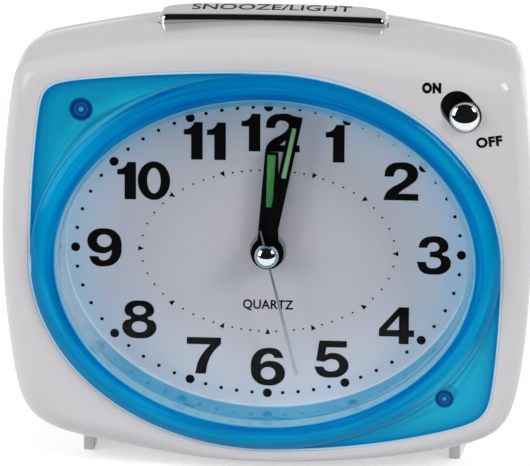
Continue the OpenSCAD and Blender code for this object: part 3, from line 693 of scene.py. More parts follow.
CASE_WHITE = plastic("Gloss white moulding", tint(229, 226, 229), 0.16, 0.02, 0.03, shine=0.4)
INK = plastic("Printed black", tint(4, 4, 8), 0.5, 0.1, 0.03, shine=0.1)
HAND_BLACK = plastic("Black hand paint", tint(3, 3, 5), 0.4, 0.15, 0.05, shine=0.1)
HOUR_GREEN = plastic("Green luminous paint", tint(58, 148, 74), 0.6, 0.15, 0.3, 1500)
MINUTE_GREEN = plastic("Pale green luminous paint", tint(122, 176, 128), 0.6, 0.15, 0.3, 1500)
CHROME = metal("Polished plating", tint(225, 227, 230), 0.05, 0.02, 0.0, 0.04)
BLACK_PLASTIC = plastic("Black moulding", tint(20, 20, 21), 0.4, 0.1)
KNOB_GREY = plastic("Grey knob moulding", tint(120, 122, 126), 0.38, 0.06, 0.15, 1800)
PLATE_GREY = plastic("Movement moulding", tint(205, 206, 208), 0.45, 0.05, 0.12, 1500)
WHEEL = plastic("Natural wheel moulding", tint(226, 220, 202), 0.4, 0.06, 0.08)
STEEL = metal("Bright steel", tint(188, 189, 190), 0.28, 0.15, 0.08, 0.2)
BRASS = metal("Turned brass", tint(214, 176, 96), 0.25, 0.12, 0.06, 0.15)
MAGNET = metal("Ground magnet", tint(96, 97, 100), 0.45, 0.2, 0.1, 0.2)
COPPER = metal("Enamelled winding", tint(204, 122, 78), 0.3, 0.4, 0.4, 0.1, 3000)
BOARD = plastic("Green circuit board", tint(40, 128, 66), 0.3, 0.2, 0.1, 900)
CELL = metal("Cell jacket", tint(210, 150, 50), 0.3, 0.08, 0.02, 0.1)
LAMP = plastic("Clear lamp", tint(250, 244, 220), 0.08, 0.04, 0.01, alpha=0.6)
WIRE = plastic("Red wire", tint(190, 40, 34), 0.4, 0.1, 0.08)


def lens_material():
    material, tree, shader = new_material("Clear lens")
    shader.inputs["Base Color"].default_value = (0.97, 0.99, 1.0, 1)
    shader.inputs["Transmission Weight"].default_value = 1.0
    shader.inputs["IOR"].default_value = 1.12
    dust = use_group(tree, MOULDED, {"Roughness": 0.02, "Gloss spread": 0.02, "Cloud scale": 90.0})
    tree.links.new(dust.outputs["Roughness"], shader.inputs["Roughness"])
    return material


# Dial tones from its middle to its edge, for the upper part and for the lower part: silver with painted light, a
# painted blue light from the ring near the edge and a lower part painted lighter as if more lit
DIAL_TONES_AND_EDGE_LIGHT = tones((0.0, 208, 205, 213), (0.6, 211, 209, 218), (0.84, 216, 223, 237), (1.0, 188, 226, 250))
DIAL_LIT_LOW_TONES = tones((0.0, 208, 205, 213), (0.6, 217, 215, 223), (0.84, 231, 231, 240), (1.0, 228, 238, 250))
DIAL_LIT_LOWER = (-6, -30)


def dial_material():
    material, tree, shader = new_material("Silver dial paint")
    where = object_place(tree)
    out = distance_from(tree, where, (0, 0), (OPEN_X, OPEN_Z))
    # Painted light: the lower part of the dial lighter than the upper part
    lower = fade(tree, where, "Z", *DIAL_LIT_LOWER)
    colour = mix_colour(tree, lower, ramp(tree, out, DIAL_TONES_AND_EDGE_LIGHT), ramp(tree, out, DIAL_LIT_LOW_TONES))
    mould(tree, shader, colour, (0.05, 45.0, 0.42, 0.1, 6000.0), 0.1, 0.01)
    return material


GREY_HAND_REACH = 28.0
GREY_HAND_TONES = tones((0.0, 120, 122, 128), (0.2, 112, 114, 122), (0.45, 150, 153, 162), (0.8, 186, 190, 198),
                        (1.0, 190, 194, 202))


def grey_hand_material():
    """Satin grey paint, darker towards the hub."""
    material, tree, shader = new_material("Satin grey hand")
    out = math_node(tree, "DIVIDE", distance_from(tree, object_place(tree), (0, 0)), GREY_HAND_REACH)
    mould(tree, shader, ramp(tree, out, GREY_HAND_TONES), (0.06, 300.0, 0.35, 0.1, 5000.0), 0.05, 0.01)
    return material


# Wall blue, with the colours and places of a painted reflection and a painted highlight
WALL_BLUE, WALL_REFLECTED_PALE, WALL_FOOT_HIGHLIGHT = tint(60, 174, 216), tint(186, 208, 230), tint(218, 234, 248)
WALL_REFLECTION_LEFT = (-30, -43)
WALL_HIGHLIGHT_LINE = (DIAL_D - 1.5, DIAL_D - 0.7)


def wall_material():
    """Translucent wall, paler at the left with a painted reflection of the dial, and a painted highlight as a pale
    line along its foot.
    """
    material, tree, shader = new_material("Pale blue dial wall")
    where = object_place(tree)
    colour = mix_colour(tree, fade(tree, where, "X", *WALL_REFLECTION_LEFT), WALL_BLUE, WALL_REFLECTED_PALE)
    colour = mix_colour(tree, fade(tree, where, "Y", *WALL_HIGHLIGHT_LINE), colour, WALL_FOOT_HIGHLIGHT)
    mould(tree, shader, colour, (0.3, 260.0, 0.05, 0.03, 3000.0), 0.02)
    shader.inputs["Specular IOR Level"].default_value = 0.9
    return material


# Lens rim colours: a painted glint of light, and a painted blue reflection of the bezel at the top
RIM_PAINTED_GLINT, RIM_REFLECTED_BLUE = tint(214, 236, 250), tint(112, 204, 240)
RIM_REFLECTION_TOP = (26, 36)


def rim_material():
    """Polished edge of the lens: its pale colour a painted glint of light through the edge, faintly clouded, with a
    painted blue reflection of the bezel at the top.
    """
    material, tree, shader = new_material("Lens rim")
    colour = mix_colour(tree, fade(tree, object_place(tree), "Z", *RIM_REFLECTION_TOP), RIM_PAINTED_GLINT, RIM_REFLECTED_BLUE)
    mould(tree, shader, colour, (0.1, 160.0, 0.12, 0.05, 3000.0), 0.02)
    shader.inputs["Alpha"].default_value = 0.85
    return material


# Bezel tone 0 is the inner edge of the ring, 0.5 its outer edge and 1 the outer edge of the plate. The ring's blue
# holds painted light: pale glints at its edges, darker edges and a lighter crest where the half-round ring takes the
# light.
BEZEL_TONES_AND_LIGHT = tones((0.0, 146, 204, 232), (0.02, 110, 196, 230), (0.045, 0, 118, 192), (0.12, 0, 134, 205),
                    (0.24, 0, 156, 220), (0.38, 0, 156, 212), (0.46, 0, 134, 194), (0.495, 64, 182, 220),
                    (0.53, 8, 148, 196), (0.57, 46, 180, 220), (0.61, 18, 162, 208), (0.9, 22, 162, 208),
                    (1.0, 8, 140, 196))
BEZEL_GLINT = (0.12, 0.75, 1.0, 1)
RING_MASK = mask((0.0, 0), (0.03, 0), (0.05, 1), (0.47, 1), (0.5, 0))
RING_TOP = (25, 40)
RING_TOP_SHADE = (0.6, 0.58, 0.78, 1)
PLATE_MASK = mask((0.0, 0), (0.6, 0), (0.68, 1))
# Painted light: the plates lighter towards the right, where the light falls
PLATE_LIT_RIGHT = (14, 40)
PLATE_LIT_BLUE = tint(38, 182, 222)
# Painted streaks of light and shade round the ring
STREAK_AROUND = 1.8
STREAK_ACROSS = 13.0
STREAK_LIGHT_TONES = mask((0.3, 0.24), (0.5, 0.5), (0.7, 0.8))
STREAK_LIGHT_MASK = mask((0.03, 0), (0.07, 0.8), (0.58, 0.9), (0.75, 0.15))
# Gap from the outer edge of the bezel, as a share of EDGE_REACH millimetres. Near that edge the blue is painted with a
# pale glow of light through the edge and a dark line of painted shade just inside it.
EDGE_REACH = 5.0
EDGE_GLOW_TONES = tones((0.0, 214, 242, 255), (0.08, 196, 236, 255), (0.12, 0, 116, 184), (0.3, 2, 128, 192),
                   (1.0, 8, 148, 202))
EDGE_GLOW_MASK = mask((0.0, 1), (0.16, 0.95), (0.35, 0.55), (1.0, 0))
GLINT_AT = (37.0, -22.5)
GLINT_REACH = 12.0
GLINT_STRENGTH = 0.8
GLINT_BLUE = tint(60, 206, 240)
GLINT_FADE = mask((0.0, 1), (0.4, 0.8), (1.0, 0))
GLINT_BAND = mask((0.3, 0), (0.4, 1), (0.46, 0.1), (0.5, 0.9), (0.54, 0.1), (0.58, 0.7), (0.66, 0))
POST_SHADE_TONES = tones((0.0, 96, 172, 220), (0.12, 70, 146, 206), (0.17, 10, 64, 136), (0.27, 14, 92, 160),
                   (0.36, 16, 98, 166), (0.45, 2, 58, 122), (0.56, 2, 62, 126), (0.66, 14, 142, 186))
POST_SHADE_MASK = mask((0.0, 1), (0.62, 1), (0.7, 0))


def painted_light_streaks(tree, where, tone):
    """Painted streaks of light and shade that run round the ring, as moulded clear plastic shows when seen edge on."""
    flat = mapped(tree, where, (1 / MM, 0, 1 / MM), (0, 0, -CENTRE_Z))
    heading = vector_node(tree, "NORMALIZE", flat).outputs["Vector"]
    around = vector_node(tree, "SCALE", heading)
    around.inputs["Scale"].default_value = STREAK_AROUND
    across = tree.nodes.new("ShaderNodeCombineXYZ")
    tree.links.new(math_node(tree, "MULTIPLY", tone, STREAK_ACROSS), across.inputs["Y"])
    both = vector_node(tree, "ADD", around.outputs["Vector"], across.outputs["Vector"]).outputs["Vector"]
    return ramp(tree, noise_node(tree, both, 1.0, 2.0), STREAK_LIGHT_TONES)


def bezel_material():
    """Translucent blue with painted light: tone across the ring from its attribute with painted glints, painted shade
    at the top of the ring, painted streaks of light, painted light on the right of the plates and at the outer edge, a
    painted glint at the lower right, and posts painted showing through the corners as rings of shade.
    """
    material, tree, shader = new_material("Translucent blue moulding")
    where = object_place(tree)
    tone = attribute(tree, "ring_tone")
    colour = ramp(tree, tone, BEZEL_TONES_AND_LIGHT)
    high = math_node(tree, "MULTIPLY", fade(tree, where, "Z", *RING_TOP), ramp(tree, tone, RING_MASK))
    colour = mix_colour(tree, high, colour, RING_TOP_SHADE, "MULTIPLY")
    streaks = painted_light_streaks(tree, where, tone)
    colour = mix_colour(tree, ramp(tree, tone, STREAK_LIGHT_MASK), colour, streaks, "SOFT_LIGHT")
    # Painted light on the right of the plates
    right = math_node(tree, "MULTIPLY", fade(tree, where, "X", *PLATE_LIT_RIGHT), ramp(tree, tone, PLATE_MASK))
    colour = mix_colour(tree, right, colour, PLATE_LIT_BLUE)
    # Painted pale glow and dark line of shade at the outer edge
    near = math_node(tree, "DIVIDE", attribute(tree, "edge_gap"), EDGE_REACH)
    colour = mix_colour(tree, ramp(tree, near, EDGE_GLOW_MASK), colour, ramp(tree, near, EDGE_GLOW_TONES))
    near = math_node(tree, "DIVIDE", distance_from(tree, where, GLINT_AT), GLINT_REACH)
    glint = math_node(tree, "MULTIPLY", ramp(tree, near, GLINT_FADE), ramp(tree, tone, GLINT_BAND))
    colour = mix_colour(tree, math_node(tree, "MULTIPLY", glint, GLINT_STRENGTH), colour, GLINT_BLUE)
    # Painted shade and light where the posts show through the bezel
    for x, z, reach, strength in POSTS:
        out = math_node(tree, "DIVIDE", distance_from(tree, where, (x, z)), reach)
        share = math_node(tree, "MULTIPLY", ramp(tree, out, POST_SHADE_MASK), strength)
        colour = mix_colour(tree, share, colour, ramp(tree, out, POST_SHADE_TONES))
    mould(tree, shader, colour, (0.22, 60.0, 0.12, 0.05, 3000.0), 0.02)
    shader.inputs["Specular IOR Level"].default_value = 0.3
    shader.inputs["Specular Tint"].default_value = BEZEL_GLINT
    return material


BAR_SATIN = 0.25
BAR_PAINT = 0.55
BAR_TOP_FACING = (0.85, 0.97)


def bar_material():
    """Plated bar: satin on its flat top, polished round its edges."""
    material, tree, shader = new_material("Silver plated bar")
    surface = use_group(tree, DRAWN, {"Colour": tint(220, 220, 219), "Line shade": 0.05, "Roughness": 0.05,
                                      "Gloss spread": 0.04, "Line scale": 900.0})
    facing = axis_part(tree, tree.nodes.new("ShaderNodeNewGeometry").outputs["Normal"], "Z")
    top = smooth_range(tree, facing, *BAR_TOP_FACING)
    dull = math_node(tree, "ADD", surface.outputs["Roughness"], math_node(tree, "MULTIPLY", top, BAR_SATIN))
    bare = math_node(tree, "SUBTRACT", 1.0, math_node(tree, "MULTIPLY", top, BAR_PAINT))
    tree.links.new(surface.outputs["Colour"], shader.inputs["Base Color"])
    tree.links.new(dull, shader.inputs["Roughness"])
    tree.links.new(bare, shader.inputs["Metallic"])
    return material


LENS_MATERIAL = lens_material()
BAR_SILVER = bar_material()
BEZEL_BLUE = bezel_material()
DIAL_SILVER = dial_material()
RING_BLUE = wall_material()
HAND_GREY = grey_hand_material()
LENS_RIM = rim_material()

# White front case with its rounded face, bezel recess, switch slot and bar slot
RECESS_EDGE = ((0, 0.15), (0.05, 0.04), (0.15, 0))
ROUND_POWER = 6
SIDE_DEPTHS = range(10, 35, 3)
INNER_MID = 20
SEAM_STEP = 0.02
SLOT_BEVEL = 0.35
SLOT_SLACK = 0.06
FACE_SLACK = 0.02
SLOT_DEPTHS = (-1, INNER_FACE + 1)
BAR_SLOT_D = 6


def front_case():
    opening = grow(oval_line(OPEN_X + LENS_LIP, OPEN_Z + LENS_LIP), FIT_GAP + SKIRT_T + SEAT_GAP)
    recess = grow(LEAF_LINE, BEZEL_GAP)
    rounding = [soft_min([outer - leaf - BEZEL_BORDER - FRONT_FLAT, FRONT_ROUND], ROUND_POWER)
                for outer, leaf in zip(CASE_LINE, LEAF_LINE)]
    rings = [ring(opening, RECESS_D), ring(recess, RECESS_D)]
    rings += [ring(grow(recess, out), depth) for out, depth in RECESS_EDGE]
    for t in arc(12):
        line = [c - r * (1 - math.sin(t)) for c, r in zip(CASE_LINE, rounding)]
        rings.append(ring(line, [r * (1 - math.cos(t)) for r in rounding]))
    rings += [ring(side_line(depth), depth) for depth in SIDE_DEPTHS]
    rings += [ring(grow(SEAM_LINE, SEAM_STEP), FRONT_DEPTH - SEAM_BEVEL_D),
              ring(grow(SEAM_LINE, -SEAM_BEVEL_W), FRONT_DEPTH), ring(grow(SEAM_LINE, -WALL), FRONT_DEPTH),
              ring(grow(side_line(INNER_MID), -WALL), INNER_MID), ring(grow(CASE_LINE, -WALL), FRONT_ROUND + WALL),
              ring(grow(CASE_LINE, -FRONT_ROUND), INNER_FACE), ring(opening, INNER_FACE)]
    case = skin("front_case_shell", rings, "loop")
    across, up = SWITCH_TRAVEL * math.cos(SWITCH_SLOPE), SWITCH_TRAVEL * math.sin(SWITCH_SLOPE)
    switch_on = (SWITCH_OFF[0] - across, SWITCH_OFF[1] + up)
    carve(case, obround("slot_cutter", SWITCH_OFF, switch_on, SLOT_R, SLOT_DEPTHS))

    def on_slot_rim(a, b):
        for x, depth, z in (a, b):
            right, above = x - SWITCH_OFF[0], z - SWITCH_OFF[1]
            share = max(0, min(1, (above * up - right * across) / SWITCH_TRAVEL ** 2))
            apart = math.hypot(right + share * across, above - share * up)
            if abs(depth) > FACE_SLACK or apart > SLOT_R + SLOT_SLACK:
                return False
        return True

    soften(case, SLOT_BEVEL, 3, on_slot_rim)
    carve(case, upright("bar_cutter", inset(bar_plan(), -FIT_GAP), (CASE_UP - BAR_SLOT_D, CASE_UP + CUT_OVER)))
    smooth(case, 40)
    finish_piece(case, "case", CASE_WHITE, "case_white", "front_case")
    foot("foot_left", -1)
    foot("foot_right", 1)


def bottom_at(x):
    return BOTTOM_BULGE_R - CASE_DOWN - math.sqrt(BOTTOM_BULGE_R ** 2 - x ** 2)


FOOT_ROOT = 1.2
FOOT_EDGE = 0.3
FOOT_CORNER = 0.25
FOOT_UPRIGHT = 0.5


def foot(name, side):
    low, inner = -CENTRE_Z, FOOT_INNER[side]
    outer = inner + FOOT_W + FOOT_FLARE
    plan = [(inner, FOOT_START), (inner + FOOT_W, FOOT_START), (outer, FLARE_END), (outer, FOOT_END),
            (inner, FOOT_END)]
    piece = upright(name, [(side * x, d) for x, d in plan], (low, bottom_at(outer) + FOOT_ROOT))
    soften(piece, FOOT_EDGE, 3, lambda a, b: max(a[2], b[2]) < low + NEAR)
    soften(piece, FOOT_CORNER, 3, lambda a, b: abs(a[2] - b[2]) > FOOT_UPRIGHT)
    smooth(piece)
    finish_piece(piece, "case", CASE_WHITE, "case_white")


# Rear cover with screw wells, knob holes, sound holes and the door opening
LIP_T = 1.2
LIP_D = 2
LIP_ROOT = 1
WELL_R = 2.6
SHAFT_HOLE_R = 1.4
SOUND_R = 1
HOLE_START, HOLE_END = 60, 40


def rear_cover():
    depth = CASE_DEPTH - FRONT_DEPTH
    inner = [ring(grow(SEAM_LINE, -WALL - REAR_DRAW * (1 - math.cos(t))), FRONT_DEPTH + (depth - WALL) * math.sin(t))
             for t in arc(8, 90, 30)]
    outer = [ring(grow(SEAM_LINE, -REAR_DRAW * (1 - math.cos(t))), FRONT_DEPTH + depth * math.sin(t))
             for t in arc(12)[1:]]
    lip = grow(SEAM_LINE, -WALL - FIT_GAP)
    lip_inner = grow(lip, -LIP_T)
    edge = [ring(lip_inner, FRONT_DEPTH + LIP_ROOT), ring(lip_inner, FRONT_DEPTH - LIP_D),
            ring(lip, FRONT_DEPTH - LIP_D), ring(lip, FRONT_DEPTH), ring(grow(SEAM_LINE, -SEAM_BEVEL_W), FRONT_DEPTH),
            ring(SEAM_LINE, FRONT_DEPTH + SEAM_BEVEL_D)]
    cover = skin("rear_cover_shell", inner + edge + outer, "caps")
    sound = [SOUND_AT] + [spoke(SOUND_AT, SOUND_STEP, a) for a in arc(6, 0, 360)[:-1]]
    for name, centres, radius, end, count in (
            ("well_cutter", SCREW_WELLS, WELL_R, SCREW_HEAD_D, 32),
            ("shaft_cutter", (TIME_AXIS, ALARM_AXIS), SHAFT_HOLE_R, HOLE_END, 32),
            ("sound_cutter", sound, SOUND_R, HOLE_END, 24)):
        for centre in centres:
            carve(cover, rod(name, centre, radius, HOLE_START, end, count))
    x0, x1, z0, z1 = BAY
    carve(cover, brick("door_cutter", x0, x1, CASE_DEPTH - DOOR_T, CASE_DEPTH + CUT_OVER, z0, z1))
    carve(cover, brick("bay_cutter", x0 + DOOR_RIM, x1 - DOOR_RIM, CASE_DEPTH - CUT_OVER, CASE_DEPTH + CUT_OVER,
                       z0 + DOOR_RIM, z1 - DOOR_RIM))
    smooth(cover, 40)
    finish_piece(cover, "case", CASE_WHITE, "case_white", "rear_cover")


# Blue bezel: half-round oval ring, leaf-shaped plate and the skirt behind
PLATE_STEPS = ((0.06, 0), (0.2, 0), (0.5, 0), (0.8, 0), (0.93, 0), (0.98, 0.05))
PLATE_EDGE = 0.1


def bezel():
    inner_line = oval_line(OPEN_X, OPEN_Z)
    outer_line = oval_line(BEZEL_X - BEZEL_BORDER, BEZEL_Z - BEZEL_BORDER)
    skirt = oval_line(OPEN_X + LENS_LIP + FIT_GAP, OPEN_Z + LENS_LIP + FIT_GAP)
    skirt_outer = grow(skirt, SKIRT_T)
    rings = [ring(inner_line, RECESS_D)]
    levels = [0.0]
    for t in arc(24, 0, 180):
        share = (1 - math.cos(t)) / 2
        depth = PLATE_SINK - RING_RISE * math.sin(t) - RING_LIFT * (1 + math.cos(t)) / 2
        rings.append(ring(between(inner_line, outer_line, share), depth))
        levels.append(0.5 * share)
    for share, depth in PLATE_STEPS:
        rings.append(ring(between(outer_line, LEAF_LINE, share), PLATE_SINK + depth))
        levels.append(0.5 + 0.5 * share)
    rings += [ring(LEAF_LINE, PLATE_SINK + PLATE_EDGE), ring(LEAF_LINE, RECESS_D), ring(skirt_outer, RECESS_D),
              ring(skirt_outer, SKIRT_D), ring(skirt, SKIRT_D), ring(skirt, RECESS_D)]
    levels += [1.0] * 2 + [0.0] * 4
    piece = skin("bezel_ring", rings, "loop")
    paint(piece, "ring_tone", rings, [[level] * len(ANGLES) for level in levels])
    gaps = [[leaf - math.hypot(x, z) for leaf, (x, _, z) in zip(LEAF_LINE, line)] for line in rings]
    paint(piece, "edge_gap", rings, gaps)
    smooth(piece, 50)
    finish_piece(piece, "case", BEZEL_BLUE, "bezel_blue", "bezel")


# Clear lens with a bevelled edge that is widest at the upper right
RIM_STEPS = (0.0, 0.3, 0.65, 1.0)
RIM_EVEN, RIM_UP, RIM_RIGHT = 1.1, 0.65, 0.6
FLAT_FACING = 0.98


def lens():
    front = oval_line(OPEN_X - FIT_GAP, OPEN_Z - FIT_GAP)
    flange = oval_line(OPEN_X + LENS_LIP, OPEN_Z + LENS_LIP)
    widths = [LENS_BEVEL * (RIM_EVEN + RIM_UP * math.sin(a) + RIM_RIGHT * math.cos(a)) for a in ANGLES]
    rings = [ring(flange, LENS_BACK), ring(flange, RECESS_D)]
    for share in RIM_STEPS:
        line = [r - width * share for r, width in zip(front, widths)]
        rings.append(ring(line, RECESS_D + (LENS_FRONT - RECESS_D) * share))
    piece = skin("lens_clear", rings, "caps")
    smooth(piece, 30)
    finish_piece(piece, "case", LENS_MATERIAL, "lens_clear", "lens")
    piece.data.materials.append(LENS_RIM)
    for face in piece.data.polygons:
        if abs(face.normal.y) < FLAT_FACING and local(face.center)[1] < RECESS_D:
            face.material_index = 1
    piece.visible_shadow = False
    piece.visible_diffuse = False
    piece.visible_glossy = False


# Pale blue wall between the lens and the dial
WALL_LIP = 0.3
WALL_STEPS = (0.25, 0.5, 0.75, 1.0)


def dial_ring():
    top = oval_line(OPEN_X, OPEN_Z)
    foot_line = oval_line(OPEN_X - RING_DRAFT, OPEN_Z - RING_DRAFT)
    outer = oval_line(OPEN_X + LENS_LIP, OPEN_Z + LENS_LIP)
    start = LENS_BACK + WALL_LIP
    rings = [ring(outer, LENS_BACK), ring(grow(top, WALL_LIP), LENS_BACK), ring(top, start)]
    rings += [ring(between(top, foot_line, share), start + (DIAL_D - start) * share) for share in WALL_STEPS]
    rings.append(ring(outer, DIAL_D))
    piece = skin("dial_wall", rings, "loop")
    smooth(piece, 40)
    finish_piece(piece, "case", RING_BLUE, "ring_blue", "dial_ring")


# Silver dial sheet
DIAL_HOLE_R = 4.0
DIAL_MID_R = 12
DIAL_ROOM = 0.2
DIAL_EDGE = 0.1


def dial():
    edge = oval_line(OPEN_X + LENS_LIP - DIAL_ROOM, OPEN_Z + LENS_LIP - DIAL_ROOM)
    hole, mid = [DIAL_HOLE_R] * len(edge), [DIAL_MID_R] * len(edge)
    rings = [ring(hole, DIAL_D + DIAL_T), ring(hole, DIAL_D), ring(mid, DIAL_D), ring(grow(edge, -DIAL_EDGE), DIAL_D),
             ring(edge, DIAL_D + DIAL_EDGE), ring(edge, DIAL_D + DIAL_T)]
    piece = skin("dial_sheet", rings, "loop")
    smooth(piece)
    finish_piece(piece, "case", DIAL_SILVER, "dial_silver", "dial")


# Printed numbers: corner points and smooth points, on a height of 100
NUMBER_H = 8.4
NUMBERS = {
    "0": [[("oval", 42, 50, 42, 51.5)], [("oval", 42, 50, 17.5, 34)]],
    "1": [[(19, 0, 0), (49, 0, 0), (49, 100, 0), (27, 100, 0), (22, 90, 1), (12, 82, 1), (0, 80, 0), (0, 66, 0),
           (19, 66, 0)]],
    "2": [[(2, 0, 0), (92, 0, 0), (92, 18, 0), (40, 18, 0), (52, 28, 1), (72, 42, 1), (88, 58, 1), (91, 70, 1),
           (85, 88, 1), (66, 100, 1), (46, 101.5, 1), (24, 98, 1), (8, 84, 1), (4, 63, 0), (28, 63, 0), (31, 75, 1),
           (38, 82, 1), (46, 83, 1), (60, 78, 1), (63, 69, 1), (58, 58, 1), (44, 46, 1), (22, 33, 1), (8, 18, 1)]],
    "3": [[(2, 32, 0), (26, 32, 0), (30, 20, 1), (45, 15.5, 1), (62, 22, 1), (65, 31, 1), (60, 41, 1), (44, 45, 1),
           (36, 45, 0), (36, 60, 0), (44, 60, 1), (56, 64, 1), (60, 72, 1), (56, 81, 1), (45, 84.5, 1), (33, 80, 1),
           (29, 70, 0), (6, 70, 0), (14, 90, 1), (44, 101.5, 1), (74, 94, 1), (84, 75, 1), (80, 62, 1), (68, 54, 1),
           (84, 46, 1), (91, 29, 1), (78, 6, 1), (45, -1.5, 1), (14, 6, 1)]],
    "4": [[(52, 0, 0), (78, 0, 0), (78, 20, 0), (92, 20, 0), (92, 38, 0), (78, 38, 0), (78, 100, 0), (52, 100, 0),
           (0, 40, 0), (0, 20, 0), (52, 20, 0)], [(52, 38, 0), (20, 38, 0), (52, 76, 0)]],
    "5": [[(14, 99, 0), (86, 99, 0), (86, 81, 0), (33, 81, 0), (29, 60, 0), (46, 66, 1), (76, 58, 1), (91, 33, 1),
           (78, 8, 1), (45, -1.5, 1), (13, 6, 1), (1, 28, 0), (25, 28, 0), (31, 19, 1), (44, 15.5, 1), (61, 21, 1),
           (66, 33, 1), (60, 44.5, 1), (46, 49, 1), (35, 46, 1), (28, 41, 0), (6, 44, 0)]],
    "6": [[(88, 74, 0), (64, 74, 0), (59, 82, 1), (49, 85, 1), (34, 77, 1), (27, 56, 0), (37, 62.5, 1), (53, 66, 1),
           (81, 57, 1), (92, 33, 1), (80, 8, 1), (47, -1.5, 1), (14, 10, 1), (2, 47, 1), (15, 88, 1), (50, 101.5, 1),
           (77, 94, 1)], [("oval", 47.5, 32, 19, 17)]],
    "7": [[(2, 99, 0), (92, 99, 0), (92, 82, 0), (72, 60, 1), (58, 32, 1), (52, 0, 0), (24, 0, 0), (32, 34, 1),
           (47, 60, 1), (64, 80, 0), (2, 80, 0)]],
    "8": [[(46, 101.5, 1), (74, 95, 1), (85, 76, 1), (80, 62, 1), (68, 54, 1), (84, 46, 1), (91, 28, 1), (78, 6, 1),
           (46, -1.5, 1), (14, 6, 1), (1, 28, 1), (8, 46, 1), (24, 54, 1), (12, 62, 1), (7, 76, 1), (18, 95, 1)],
          [("oval", 46, 74.5, 17, 12)], [("oval", 46, 30, 20, 15)]],
}
NUMBER_PLACES = [("1", -5.9, 22.2), ("2", -0.95, 22.2), ("1", 12.4, 20.1), ("2", 24.9, 11.9), ("3", 32.3, -4.5),
                 ("4", 24.4, -20.6), ("5", 10.2, -28.5), ("6", -3.85, -30.65), ("7", -17.95, -28.4),
                 ("8", -32.1, -20.55), ("9", -39.8, -4.35), ("1", -33.0, 10.85), ("0", -28.5, 10.95),
                 ("1", -18.45, 20.1), ("1", -13.4, 20.1)]
NINE_TURN = (94, 100)
PRINT_T = 0.03
PRINT_MID = DIAL_D - PRINT_T / 2


def outline_points(outline):
    if outline[0][0] != "oval":
        return [(x, z, bool(soft)) for x, z, soft in outline]
    _, cx, cz, rx, rz = outline[0]
    return [(cx + rx * math.cos(t), cz + rz * math.sin(t), True) for t in turns(12)]


def printed_outline(name, outlines, scale):
    """A flat filled drawing, made a mesh before it is put in its place."""
    clear_selection()
    bpy.ops.curve.primitive_bezier_circle_add()
    piece = bpy.context.object
    piece.name = name
    curve = piece.data
    curve.splines.clear()
    curve.dimensions = "2D"
    curve.fill_mode = "BOTH"
    curve.resolution_u = 5
    curve.extrude = PRINT_T / 2 * MM
    for outline in outlines:
        points = outline_points(outline)
        spline = curve.splines.new("BEZIER")
        spline.bezier_points.add(len(points) - 1)
        spline.use_cyclic_u = True
        for knot, (x, z, soft) in zip(spline.bezier_points, points):
            knot.co = (x * scale * MM, z * scale * MM, 0)
            kind = "AUTO" if soft else "VECTOR"
            knot.handle_left_type = kind
            knot.handle_right_type = kind
    bpy.ops.object.convert(target="MESH")
    return bpy.context.object


def stand_up(piece, x, depth, z, lean=0.0):
    """Turns a flat drawing to face the front and puts it in its place."""
    pick(piece)
    piece.rotation_euler = (math.pi / 2, lean, 0)
    piece.location = place(x, depth, z)
    bpy.ops.object.transform_apply(location=True, rotation=True, scale=True)
    tidy_mesh(piece)
    return piece


def dial_numbers():
    pieces = []
    unit = NUMBER_H / 100
    for digit, x, z in NUMBER_PLACES:
        piece = printed_outline("number", NUMBERS["6" if digit == "9" else digit], unit)
        if digit == "9":
            pick(piece)
            piece.rotation_euler = (0, 0, math.pi)
            piece.location = (NINE_TURN[0] * unit * MM, NINE_TURN[1] * unit * MM, 0)
            bpy.ops.object.transform_apply(location=True, rotation=True, scale=True)
        pieces.append(stand_up(piece, x, PRINT_MID, z))
    finish_piece(join("dial_numbers", pieces), "case", INK, "dial_silver")


# Dots on two ovals, with small triangles at the hours of the inner one
DOT_X, DOT_Z = 42.2, 32.3
DOT_DROP = -0.15
HOUR_DOT_R, MINUTE_DOT_R = 1.0, 0.4
MARK_X, MARK_Z = 27.8, 18.2
MARK_DOT_R = 0.22
MARK_SHAPE = [(-0.56, 0.64, 0), (0.56, 0.64, 0), (0, -0.64, 0)]


def clock_point(turn, x, z):
    reach = oval_reach(math.radians(90 - turn), x, z)
    return reach * math.sin(math.radians(turn)), reach * math.cos(math.radians(turn)) + DOT_DROP


def dot(turn, x, z, radius, count):
    return rod("dot", clock_point(turn, x, z), radius, DIAL_D - PRINT_T, DIAL_D, count)


def dial_dots():
    pieces = []
    for minute in range(60):
        turn = 6 * minute
        if minute % 5 == 0:
            pieces.append(dot(turn, DOT_X, DOT_Z, HOUR_DOT_R, 24))
            x, z = clock_point(turn, MARK_X, MARK_Z)
            pieces.append(stand_up(printed_outline("mark", [MARK_SHAPE], 1), x, PRINT_MID, z, math.radians(turn)))
        else:
            pieces.append(dot(turn, DOT_X, DOT_Z, MINUTE_DOT_R, 12))
            pieces.append(dot(turn, MARK_X, MARK_Z, MARK_DOT_R, 8))
    finish_piece(join("dial_dots", pieces), "case", INK, "dial_silver")


def lettering(name, words, x0, x1, z0, z1, weight):
    """Generic words fitted to a box, their strokes thickened by weight."""
    clear_selection()
    bpy.ops.object.text_add()
    piece = bpy.context.object
    piece.data.body = words
    piece.data.offset = weight
    piece.data.space_character = 1 + 2 * weight
    bpy.ops.object.convert(target="MESH")
    piece = bpy.context.object
    piece.name = name
    corners = [v.co for v in piece.data.vertices]
    low = Vector((min(c.x for c in corners), min(c.y for c in corners), 0))
    high = Vector((max(c.x for c in corners), max(c.y for c in corners), 0))
    size = high - low
    for vertex in piece.data.vertices:
        off = vertex.co - (low + high) / 2
        vertex.co = (off.x / size.x * (x1 - x0) * MM, off.y / size.y * (z1 - z0) * MM, 0)
    edit(piece)
    bpy.ops.mesh.extrude_region_move(TRANSFORM_OT_translate={"value": (0, 0, PRINT_T * MM)})
    leave_edit()
    return piece


